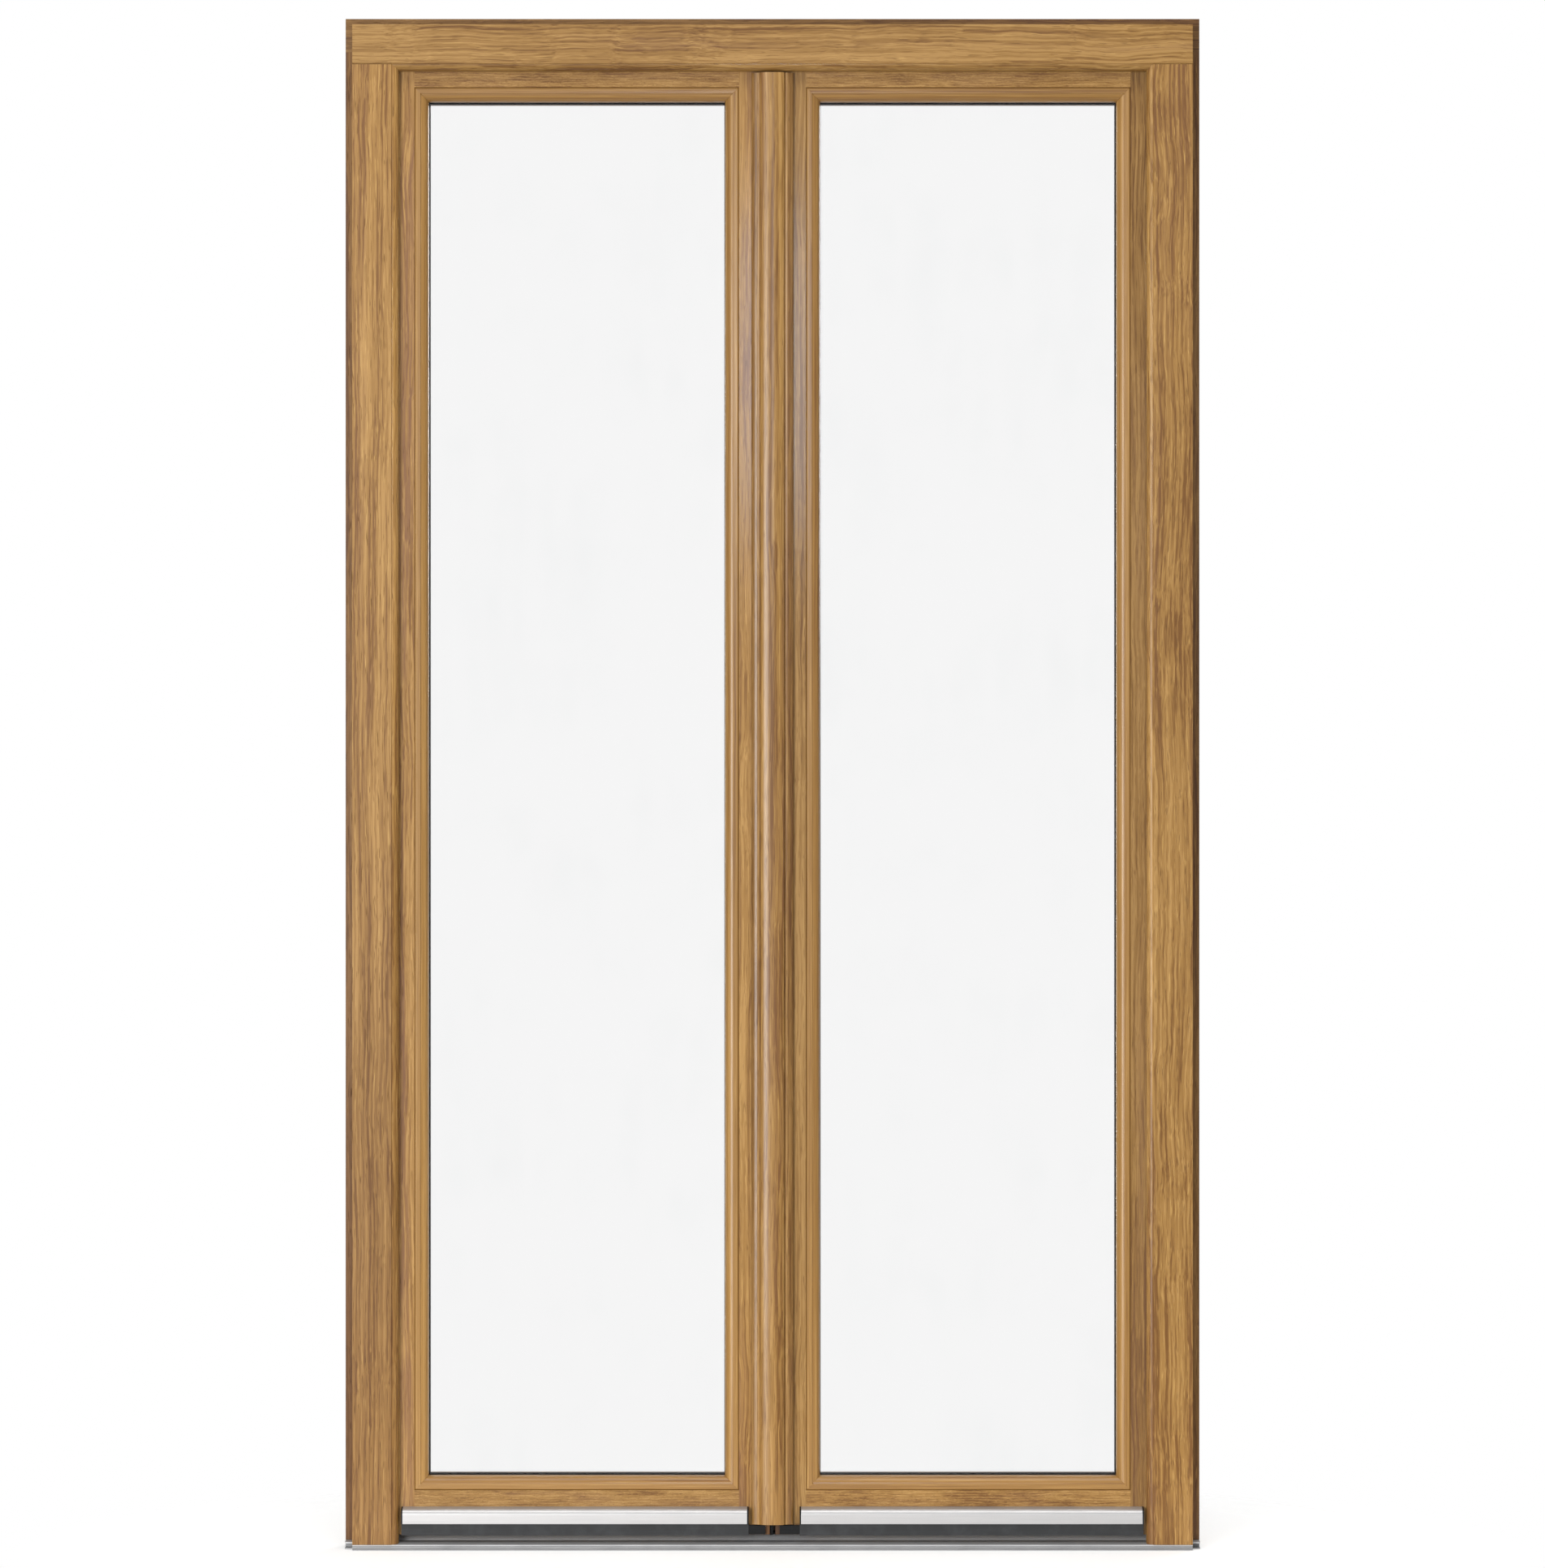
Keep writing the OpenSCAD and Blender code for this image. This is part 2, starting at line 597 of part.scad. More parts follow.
pocket_d = bolt_x + bolt_r + 1 + m_edge;
module bolt_channel(z0, z1)
  block([m_edge - pocket_d, bolt_y - bolt_r - 2.5, z0], [m_edge + cut, bolt_y + bolt_r + 2.5, z1]);
module plate_recess(z0, z1)
  block([m_edge - plate_t, bolt_y - plate_w / 2, z0], [m_edge + cut, bolt_y + plate_w / 2, z1]);
module guide(z) difference() {
  block([m_edge - pocket_d, bolt_y - bolt_r - 2.5, z],
    [m_edge - plate_t, bolt_y + bolt_r + 2.5, z + guide_l]);
  translate([-bolt_x, bolt_y, z - cut]) cylinder(r = bolt_r + fit, h = guide_l + 2 * cut);
}
module face_plate(z0, z1)
  block([m_edge - plate_t, bolt_y - plate_w / 2, z0], [m_edge, bolt_y + plate_w / 2, z1]);

module bolt_pockets() {
  for (z = [z_edge0 + 2, z_edge1 - 2 - plate_len]) plate_recess(z, z + plate_len);
  bolt_channel(z_edge0 - cut, z_edge0 + 2 + plate_len);
  bolt_channel(z_edge1 - 2 - plate_len, z_edge1 + cut);
}
// Each plate has two guides, and a slot for the bolt's slider
module bolt_plate(z) {
  difference() {
    face_plate(z, z + plate_len);
    block([m_edge - plate_t - cut, bolt_y - 3, z + plate_len / 2 - slot_l / 2],
      [m_edge + cut, bolt_y + 3, z + plate_len / 2 + slot_l / 2]);
  }
  guide(z + 8);
  guide(z + plate_len - 8 - guide_l);
}
module passive_bolt_plates() color(alloy) {
  bolt_plate(z_edge0 + 2);
  bolt_plate(z_edge1 - 2 - plate_len);
}
// A bolt from z0 to z1, with its slider at zs
module bolt(z0, z1, zs) color(alloy) {
  translate([-bolt_x, bolt_y, z0]) cylinder(r = bolt_r, h = z1 - z0);
  block([-bolt_x, bolt_y - 2.5, zs - 6], [m_edge + 1.2, bolt_y + 2.5, zs + 6]);
}
slider = slot_l / 2 - 7;
module passive_top_bolt()
  bolt(z_edge1 - plate_len + 4, z_edge1 - bolt_rest, z_edge1 - 2 - plate_len / 2 - slider);
module passive_bottom_bolt()
  bolt(z_edge0 + bolt_rest, z_edge0 + plate_len - 4, z_edge0 + 2 + plate_len / 2 + slider);

// ---- lock and knob on the leading leaf, drawn as its mirror image ----

case_d = 30;
case_t = 15;
module case_body() block([m_edge - case_d, bolt_y - case_t / 2, knob_z - case_h / 2],
  [m_edge - plate_t, bolt_y + case_t / 2, knob_z + case_h / 2]);
module spindle_bore() translate([-knob_x, leaf_y1 + cut, knob_z]) rotate([90, 0, 0])
  cylinder(r = 6, h = leaf_y1 + cut - bolt_y - case_t / 2);

module lock_pockets() {
  plate_recess(z_edge0 + 2, z_edge1 - 2);
  bolt_channel(z_edge0 - cut, z_edge1 + cut);
  case_body();
  spindle_bore();
}
module lock_face_plate() color(alloy) {
  face_plate(z_edge0 + 2, z_edge1 - 2);
  guide(z_edge0 + 10);
  guide(z_edge1 - 10 - guide_l);
}
module lock_case() color(alloy) difference() {
  case_body();
  translate([-bolt_x, bolt_y, knob_z - case_h]) cylinder(r = bolt_r + fit, h = 2 * case_h);
  translate([-knob_x, bolt_y + case_t, knob_z]) rotate([90, 0, 0]) cylinder(r = spindle_r, h = case_t + 4 + spindle_gap);
}
rod_in = 30;      // how far the rods reach into the case
module lock_top_rod() color(alloy) translate([-bolt_x, bolt_y, knob_z + case_h / 2 - rod_in])
  cylinder(r = bolt_r, h = z_edge1 - bolt_rest - knob_z - case_h / 2 + rod_in);
module lock_bottom_rod() color(alloy) translate([-bolt_x, bolt_y, z_edge0 + bolt_rest])
  cylinder(r = bolt_r, h = knob_z - case_h / 2 + rod_in - z_edge0 - bolt_rest);

rose_r = 16;
rose_t = 8;
neck_r = 8;
knob_out = 34;    // from the leaf to the middle of the knob
module knob_rose() color(brass) translate([-knob_x, leaf_y1, knob_z]) rotate([-90, 0, 0]) rotate_extrude()
  polygon(concat([[neck_r + near, 0], [rose_r, 0]], arc([rose_r - 3, rose_t - 3], 3, 0, 90),
    [[neck_r + near, rose_t]]));

module knob() color(brass) {
  translate([-knob_x, leaf_y1 + near, knob_z]) rotate([-90, 0, 0]) rotate_extrude() polygon([
    [0, 0], [neck_r, 0], [neck_r, rose_t], [neck_r - 1.5, rose_t + 4], [neck_r - 1, knob_out - 8],
    [neck_r - 1, knob_out], [0, knob_out]]);
  translate([-knob_x, leaf_y1 + knob_out, knob_z]) rotate([0, 90, 0]) rotate_extrude() polygon(
    concat([[0, -knob_l / 2]],
      [for (i = [-8:8]) let (t = i / 8) [knob_d / 2 * pow(1 - pow(abs(t), 2.6), 0.5) + 1, t * knob_l / 2]],
      [[0, knob_l / 2]]));
  block([-knob_x - spindle / 2, bolt_y - 4, knob_z - spindle / 2],
    [-knob_x + spindle / 2, leaf_y1 + 2, knob_z + spindle / 2]);
}

// ---- what is drawn ----

frame_head();
jamb();  // frame_jamb_left
right_side() jamb();  // frame_jamb_right
frame_dowels();
threshold_outer();
threshold_strip();
threshold_inner();
threshold_screws();
frame_hinges();  // frame_hinges_left
right_side() frame_hinges();  // frame_hinges_right
head_keepers();
threshold_keepers();

hinge_stile();  // passive_hinge_stile
meeting_stile(false);  // passive_meeting_stile
top_rail(false);  // passive_top_rail
bottom_rail(false);  // passive_bottom_rail
bead_hinge_side();  // passive_bead_hinge_side
bead_meeting_side();  // passive_bead_meeting_side
bead_top();  // passive_bead_top
bead_bottom();  // passive_bead_bottom
pane_outer();  // passive_pane_outer
pane_inner();  // passive_pane_inner
pane_spacer();  // passive_pane_spacer
glazing_seals();  // passive_glazing_seals
setting_blocks();  // passive_setting_blocks
edge_seals(false);  // passive_edge_seals
weather_bar(bar_gap_own);  // passive_weather_bar
drip_seal(bar_gap_own);  // passive_drip_seal
bar_end_caps(bar_gap_own);  // passive_bar_end_caps
hinge_sockets();  // passive_hinge_sockets
passive_bolt_plates();
passive_top_bolt();
passive_bottom_bolt();
astragal();
astragal_seal();

right_side() hinge_stile();  // active_hinge_stile
right_side() meeting_stile(true);  // active_meeting_stile
right_side() top_rail(true);  // active_top_rail
right_side() bottom_rail(true);  // active_bottom_rail
right_side() bead_hinge_side();  // active_bead_hinge_side
right_side() bead_meeting_side();  // active_bead_meeting_side
right_side() bead_top();  // active_bead_top
right_side() bead_bottom();  // active_bead_bottom
right_side() pane_outer();  // active_pane_outer
right_side() pane_inner();  // active_pane_inner
right_side() pane_spacer();  // active_pane_spacer
right_side() glazing_seals();  // active_glazing_seals
right_side() setting_blocks();  // active_setting_blocks
right_side() edge_seals(true);  // active_edge_seals
right_side() weather_bar(bar_gap_lead);  // active_weather_bar
right_side() drip_seal(bar_gap_lead);  // active_drip_seal
right_side() bar_end_caps(bar_gap_lead);  // active_bar_end_caps
right_side() hinge_sockets();  // active_hinge_sockets
right_side() lock_face_plate();
right_side() lock_case();
right_side() lock_top_rod();
right_side() lock_bottom_rod();
right_side() knob_rose();
right_side() knob();
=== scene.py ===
# French doors: looks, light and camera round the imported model
import bpy
import bmesh
import math
from mathutils import Matrix, Vector


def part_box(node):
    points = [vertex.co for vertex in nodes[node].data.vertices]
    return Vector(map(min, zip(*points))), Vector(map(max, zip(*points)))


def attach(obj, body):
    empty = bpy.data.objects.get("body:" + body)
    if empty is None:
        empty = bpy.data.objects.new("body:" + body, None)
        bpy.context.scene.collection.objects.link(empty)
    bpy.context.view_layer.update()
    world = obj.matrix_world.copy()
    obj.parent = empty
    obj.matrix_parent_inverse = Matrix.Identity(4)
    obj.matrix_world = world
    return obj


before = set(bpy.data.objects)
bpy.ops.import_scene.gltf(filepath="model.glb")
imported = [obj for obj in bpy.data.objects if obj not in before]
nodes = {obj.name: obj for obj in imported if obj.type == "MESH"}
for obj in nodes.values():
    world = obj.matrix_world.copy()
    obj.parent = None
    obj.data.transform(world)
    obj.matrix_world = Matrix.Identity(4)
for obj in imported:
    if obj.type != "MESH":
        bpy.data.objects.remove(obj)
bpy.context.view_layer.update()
print("frame loaded:", len(nodes), "nodes")


# camera, straight on and level, a little below the middle of the doors

camera = {
    "place": (0.0, -9.0, 1.0729),
    "lens": 147.6,      # mm
    "sensor": 36.0,     # mm
    "aim": (math.radians(90), 0.0, 0.0),
}
cameraData = bpy.data.cameras.new("camera")
cameraData.lens = camera["lens"]
cameraData.sensor_width = camera["sensor"]
cameraObject = bpy.data.objects.new("camera", cameraData)
cameraObject.location = camera["place"]
cameraObject.rotation_euler = camera["aim"]
bpy.context.scene.collection.objects.link(cameraObject)
bpy.context.scene.camera = cameraObject
bpy.context.scene.view_settings.view_transform = "Standard"
print("camera placed")


# helpers for node trees

# red, green and blue as a colour picker shows them, 0 to 255
def paint(red, green, blue):
    def linear(value):
        value /= 255
        return value / 12.92 if value <= 0.04045 else ((value + 0.055) / 1.055) ** 2.4
    return (linear(red), linear(green), linear(blue), 1.0)


def feed(tree, socket, value):
    if isinstance(value, bpy.types.NodeSocket):
        tree.links.new(value, socket)
    else:
        socket.default_value = value


def addNode(tree, kind, inputs=None, **settings):
    node = tree.nodes.new("ShaderNode" + kind)
    for name, value in settings.items():
        setattr(node, name, value)
    for name, value in (inputs or {}).items():
        feed(tree, node.inputs[name], value)
    return node


def math1(tree, operation, a, b=0.5, c=0.5):
    return addNode(tree, "Math", {0: a, 1: b, 2: c}, operation=operation).outputs[0]


def vectorMath(tree, operation, a, b):
    return addNode(tree, "VectorMath", {0: a, 1: b}, operation=operation).outputs[0]


def remap(tree, value, low, high, toLow=0.0, toHigh=1.0):
    names = ("Value", "From Min", "From Max", "To Min", "To Max")
    return addNode(tree, "MapRange", dict(zip(names, (value, low, high, toLow, toHigh))),
                   interpolation_type="SMOOTHSTEP").outputs["Result"]


# a Mix node keeps its colour sockets at 6 and 7, and its colour result at 2
def mixColor(tree, factor, a, b, blend="MIX"):
    node = addNode(tree, "Mix", data_type="RGBA", blend_type=blend, clamp_factor=True)
    for socket, value in ((0, factor), (6, a), (7, b)):
        feed(tree, node.inputs[socket], value)
    return node.outputs[2]


# how far a value lies from its middle, times a weight, on top of a sum
def addSwing(tree, value, weight, total):
    return math1(tree, "MULTIPLY_ADD", math1(tree, "SUBTRACT", value, 0.5), weight, total)


def masked(tree, mask, amount):
    return math1(tree, "MULTIPLY", mask, amount)


# scale counts the noise's cells per metre along x, y and z
def noise(tree, vector, scale, detail=2.0, rough=0.5, shift=(0, 0, 0)):
    spot = addNode(tree, "Mapping", {"Vector": vector, "Location": shift, "Scale": scale})
    return addNode(tree, "TexNoise", {"Vector": spot.outputs[0], "Scale": 1.0, "Detail": detail,
                                      "Roughness": rough}).outputs["Fac"]


def newGroup(name, inputs):
    group = bpy.data.node_groups.new(name, "ShaderNodeTree")
    for socketName, kind, value in inputs:
        socket = group.interface.new_socket(name=socketName, in_out="INPUT",
                                            socket_type="NodeSocket" + kind)
        if value is not None:
            socket.default_value = value
    for socketName, kind in (("Color", "Color"), ("Roughness", "Float"), ("Height", "Float")):
        group.interface.new_socket(name=socketName, in_out="OUTPUT",
                                   socket_type="NodeSocket" + kind)
    source = group.nodes.new("NodeGroupInput").outputs
    sink = group.nodes.new("NodeGroupOutput").inputs
    return group, source, sink


# shared effects

# scale: cells per metre across and along the grain
oakNoises = {
    "broad": dict(scale=(75, 75, 1.3), detail=2.0),
    "fine": dict(scale=(330, 330, 4.5), detail=3.0, rough=0.6, shift=(3.1, 0.7, 0.2)),
    "hair": dict(scale=(1050, 1050, 13), detail=1.0, shift=(1.7, 2.9, 0.4)),
    "across": dict(scale=(30, 30, 0.8), detail=1.0, shift=(5.3, 1.1, 0.9)),
    "pores": dict(scale=(820, 820, 33), detail=1.0, shift=(0.3, 4.1, 0.6)),
    "flecks": dict(scale=(640, 640, 19), detail=1.0, shift=(8.3, 2.2, 0.1)),
    "drift": dict(scale=(9, 9, 0.9), detail=1.0, shift=(2.3, 6.1, 0.5)),
}
oakWander = {"slow": 4.2, "quick": 26.0, "quickShare": 0.13}
oakRings = {"perMetre": 980.0, "bent": 7.0}
# how much each layer moves the tone between deep and pale
oakTone = {"broad": 1.4, "drift": 0.9, "fine": 1.5, "hair": 0.7, "rings": 0.22}


# the grain wanders: a slow wave, and a small quick one on top of it
def wanderingPoint(group, point, wave, shorten):
    def swirl(scale):
        cloud = addNode(group, "TexNoise", {"Vector": point, "Scale": scale, "Detail": 1.0})
        return vectorMath(group, "SUBTRACT", cloud.outputs["Color"], (0.5, 0.5, 0.5))

    share = (oakWander["quickShare"],) * 3
    quick = vectorMath(group, "MULTIPLY", swirl(oakWander["quick"]), share)
    wander = vectorMath(group, "ADD", swirl(oakWander["slow"]), quick)
    size = addNode(group, "CombineXYZ", {0: wave, 1: wave, 2: wave}).outputs[0]
    moved = vectorMath(group, "ADD", point, vectorMath(group, "MULTIPLY", wander, size))
    along = addNode(group, "CombineXYZ", {0: 1.0, 1: 1.0, 2: shorten}).outputs[0]
    return vectorMath(group, "MULTIPLY", moved, along)


# growth rings round a pith that lies well outside the member
def growthRings(group, point, broad):
    offPith = vectorMath(group, "MULTIPLY", point, (1.0, 1.0, 0.0))
    reach = addNode(group, "VectorMath", {0: offPith}, operation="LENGTH").outputs["Value"]
    phase = math1(group, "ADD", math1(group, "MULTIPLY", reach, oakRings["perMetre"]),
                  math1(group, "MULTIPLY", broad, oakRings["bent"]))
    return remap(group, math1(group, "SINE", phase), -1.0, 1.0)


def makeOakGrain():
    group, source, sink = newGroup("oakGrain", (
        ("Vector", "Vector", None), ("Pale", "Color", None), ("Middle", "Color", None),
        ("Deep", "Color", None), ("Mauve", "Color", None), ("Pore", "Color", None),
        ("Wave", "Float", 0.01), ("Shorten", "Float", 1.0), ("Streaks", "Float", 1.0),
        ("Mauve Amount", "Float", 0.4), ("Pore Amount", "Float", 0.6), ("Fleck Amount", "Float", 0.4),
        ("End Face", "Float", 0.0), ("Painted Shade", "Float", 0.0)))
    point = wanderingPoint(group, source["Vector"], source["Wave"], source["Shorten"])
    layers = {name: noise(group, point, **look) for name, look in oakNoises.items()}
    layers["rings"] = growthRings(group, point, layers["broad"])
    fine, hair, rings = layers["fine"], layers["hair"], layers["rings"]

    tone = 0.5
    for name, weight in oakTone.items():
        tone = addSwing(group, layers[name], weight, tone)
    tone = addSwing(group, tone, source["Streaks"], 0.5)
    color = mixColor(group, remap(group, tone, 0.5, 0.95), source["Middle"], source["Pale"])
    color = mixColor(group, remap(group, tone, 0.5, 0.05), color, source["Deep"])
    mauveMask = masked(group, remap(group, layers["across"], 0.46, 0.66), remap(group, fine, 0.72, 0.34))
    color = mixColor(group, masked(group, mauveMask, source["Mauve Amount"]), color, source["Mauve"])
    poreMask = masked(group, remap(group, layers["pores"], 0.60, 0.70),
                      remap(group, rings, 0.05, 0.55, 0.35, 1.0))
    color = mixColor(group, masked(group, poreMask, source["Pore Amount"]), color, source["Pore"])
    fleckMask = masked(group, remap(group, layers["flecks"], 0.60, 0.74), source["Fleck Amount"])
    color = mixColor(group, fleckMask, color, source["Pale"], "SCREEN")
    # cut ends are darker and drink more lacquer
    endMask = remap(group, source["End Face"], 0.75, 0.95)
    endTone = mixColor(group, remap(group, rings, 0.2, 0.8), source["Pore"], source["Deep"])
    color = mixColor(group, masked(group, endMask, 0.55), color, endTone)
    # painted shade: the colour is multiplied towards the deep tone where the member lies in shade
    color = mixColor(group, source["Painted Shade"], color, source["Deep"], "MULTIPLY")

    rough = math1(group, "MULTIPLY_ADD", hair, 0.10, 0.33)
    rough = math1(group, "MULTIPLY_ADD", poreMask, 0.22, rough)
    rough = math1(group, "MULTIPLY_ADD", endMask, 0.15, rough)
    height = math1(group, "MULTIPLY_ADD", fine, 0.35, math1(group, "MULTIPLY", hair, 0.35))
    height = math1(group, "SUBTRACT", height, math1(group, "MULTIPLY", poreMask, 0.8))
    feed(group, sink["Color"], color)
    feed(group, sink["Roughness"], rough)
    feed(group, sink["Height"], height)
    return group


metalNoises = {
    "drawn": dict(scale=(9, 1500, 1500)),
    "brushed": dict(scale=(60, 4200, 4200), detail=1.0, shift=(2.0, 1.0, 5.0)),
}
metalSpots = {"speckle": {"Scale": 1900.0, "Detail": 1.0}, "cloud": {"Scale": 21.0, "Detail": 3.0}}
# the lowest millimetres, next to the ground, are darker
lowDarkening = {"full": 0.0046, "none": 0.0066, "color": (0.11, 0.11, 0.11, 1)}


def makeDrawnMetal():
    group, source, sink = newGroup("drawnMetal", (
        ("Vector", "Vector", None), ("Color", "Color", None), ("Shade", "Color", None),
        ("Roughness", "Float", 0.3), ("Streaks", "Float", 0.5), ("Cloud", "Float", 0.3),
        ("Low Darkening", "Float", 0.0)))
    point = source["Vector"]
    drawn, brushed = (noise(group, point, **look) for look in metalNoises.values())
    speckle, cloud = (addNode(group, "TexNoise", {"Vector": point, **look}).outputs["Fac"]
                      for look in metalSpots.values())
    mask = masked(group, remap(group, drawn, 0.35, 0.7), source["Streaks"])
    cloudMask = masked(group, remap(group, cloud, 0.4, 0.75), source["Cloud"])
    speckleMask = masked(group, remap(group, speckle, 0.35, 0.75), 0.35)
    color = source["Color"]
    for layer in (mask, cloudMask, speckleMask):
        color = mixColor(group, layer, color, source["Shade"])
    height = addNode(group, "SeparateXYZ", {0: point}).outputs["Z"]
    # darker on the lowest millimetres
    low = remap(group, height, lowDarkening["full"], lowDarkening["none"], 1.0, 0.0)
    color = mixColor(group, masked(group, low, source["Low Darkening"]), color, lowDarkening["color"])
    rough = addSwing(group, brushed, 0.18, source["Roughness"])
    rough = math1(group, "MULTIPLY_ADD", cloudMask, 0.2, rough)
    bumps = math1(group, "MULTIPLY_ADD", drawn, 0.6, math1(group, "MULTIPLY", speckle, 0.5))
    bumps = math1(group, "MULTIPLY_ADD", brushed, 0.4, bumps)
    feed(group, sink["Color"], color)
    feed(group, sink["Roughness"], rough)
    feed(group, sink["Height"], bumps)
    return group


skinNoises = {
    "flow": dict(scale=(11, 700, 700), detail=1.0),
    "patch": {"Scale": 34.0, "Detail": 4.0, "Roughness": 0.62},
}


def makeMouldedSkin():
    group, source, sink = newGroup("mouldedSkin", (
        ("Vector", "Vector", None), ("Color", "Color", None), ("Bloom", "Color", None),
        ("Bloom Amount", "Float", 0.3), ("Grain", "Float", 900.0), ("Roughness", "Float", 0.5)))
    point = source["Vector"]
    grain = addNode(group, "TexNoise", {"Vector": point, "Scale": source["Grain"], "Detail": 2.0})
    grain = grain.outputs["Fac"]
    patch = addNode(group, "TexNoise", {"Vector": point, **skinNoises["patch"]}).outputs["Fac"]
    flow = noise(group, point, **skinNoises["flow"])
    bloom = masked(group, remap(group, patch, 0.42, 0.72), source["Bloom Amount"])
    flowMask = masked(group, remap(group, flow, 0.5, 0.75), 0.15)
    color = source["Color"]
    for layer in (bloom, flowMask):
        color = mixColor(group, layer, color, source["Bloom"])
    rough = addSwing(group, grain, 0.25, source["Roughness"])
    rough = math1(group, "MULTIPLY_ADD", bloom, 0.25, rough)
    feed(group, sink["Color"], color)
    feed(group, sink["Roughness"], rough)
    feed(group, sink["Height"], math1(group, "MULTIPLY_ADD", flow, 0.3, grain))
    return group


paneNoises = {
    "film": {"Scale": 7.0, "Detail": 5.0, "Roughness": 0.6},
    "ripple": {"Scale": 2.2, "Detail": 0.0},
    "wipe": dict(scale=(30, 30, 5), detail=3.0),
}


def makePaneDust():
    group, source, sink = newGroup("paneDust", (
        ("Vector", "Vector", None), ("Clear", "Color", None), ("Film", "Color", None),
        ("Film Amount", "Float", 0.3)))
    point = source["Vector"]
    film, ripple = (addNode(group, "TexNoise", {"Vector": point, **paneNoises[name]}).outputs["Fac"]
                    for name in ("film", "ripple"))
    wipe = noise(group, point, **paneNoises["wipe"])
    mask = masked(group, remap(group, film, 0.4, 0.75), remap(group, wipe, 0.3, 0.7))
    mask = masked(group, mask, source["Film Amount"])
    feed(group, sink["Color"], mixColor(group, mask, source["Clear"], source["Film"]))
    feed(group, sink["Roughness"], math1(group, "MULTIPLY", mask, 0.05))
    feed(group, sink["Height"], ripple)
    return group


oakGrain = makeOakGrain()
drawnMetal = makeDrawnMetal()
mouldedSkin = makeMouldedSkin()
paneDust = makePaneDust()
print("effects made")


# putting materials on

def newMaterial(name, roughness=0.4, **constants):
    material = bpy.data.materials.new(name)
    material.use_nodes = True
    tree = material.node_tree
    shader = tree.nodes["Principled BSDF"]
    shader.inputs["Roughness"].default_value = roughness
    for socketName, value in constants.items():
        shader.inputs[socketName.replace("_", " ")].default_value = value
    return material, tree, shader


def placeGroup(tree, group, values, vector):
    node = tree.nodes.new("ShaderNodeGroup")
    node.node_tree = group
    feed(tree, node.inputs["Vector"], vector)
    for name, value in values.items():
        feed(tree, node.inputs[name], value)
    return node.outputs


def finishShader(tree, shader, effect, strength, depth):
    feed(tree, shader.inputs["Base Color"], effect["Color"])
    feed(tree, shader.inputs["Roughness"], effect["Roughness"])
    bump = addNode(tree, "Bump", {"Strength": strength, "Distance": depth, "Height": effect["Height"]})
    feed(tree, shader.inputs["Normal"], bump.outputs[0])


def objectCoords(tree, location=(0, 0, 0), turn=(0, 0, 0), scale=1.0):
    coords = addNode(tree, "TexCoord").outputs["Object"]
    return addNode(tree, "Mapping", {"Vector": coords, "Location": location, "Rotation": turn,
                                     "Scale": (scale, scale, scale)}).outputs[0]


def wear(nodeName, material):
    mesh = nodes[nodeName].data
    mesh.materials.clear()
    mesh.materials.append(material)


softEdge = {"weld": 2e-6, "segments": 2, "angle": 32}      # angle in degrees


# rounds a node's hard edges with modifiers; its own shape stays as it is
def softenEdges(nodeName, width):
    thing = nodes[nodeName]
    mesh = thing.data
    if "custom_normal" in mesh.attributes:
        mesh.attributes.remove(mesh.attributes["custom_normal"])
    mesh.shade_smooth()
    weld = thing.modifiers.new("weld", "WELD")
    weld.merge_threshold = softEdge["weld"]
    bevel = thing.modifiers.new("softEdges", "BEVEL")
    bevel.width = width
    bevel.segments = softEdge["segments"]
    bevel.limit_method = "ANGLE"
    bevel.angle_limit = math.radians(softEdge["angle"])
    bevel.use_clamp_overlap = True
    flat = thing.modifiers.new("flatFaces", "WEIGHTED_NORMAL")
    flat.keep_sharp = True


# oak members

oakStain = {
    "pale": (181, 139, 80),
    "middle": (158, 117, 60),
    "deep": (120, 80, 35),
    "mauve": (128, 89, 60),
    "pore": (84, 53, 22),
    "edge": 0.0006,         # radius on the arrises, m
    "gloss": 0.22,
    "lacquer": (0.16, 0.11),    # coat and its roughness
    "bump": (0.35, 0.00025),
}

# painted shade: how much darker each place is painted, and from where to where along y, |x| or z it comes
# and goes, m
paintedShades = {
    # the frame's rear wall step: painted shade in the recess
    "wallStepShade": dict(amount=0.44, rise=(0.020, 0.034), fall=(0.054, 0.036)),
    # the astragal's side slopes: painted shade
    "astragalSlopeShade": dict(amount=0.34, rise=(0.019, 0.024)),
    # the meeting stiles' feet under the astragal: painted shadow
    "footShade": dict(amount=0.75, rise=(0.037, 0.032)),
    # the left jamb, darker towards its foot: partly painted fall-off of light, partly the wood's own tone
    "lowEndShade": dict(amount=0.30, rise=(1.35, 0.25)),
}

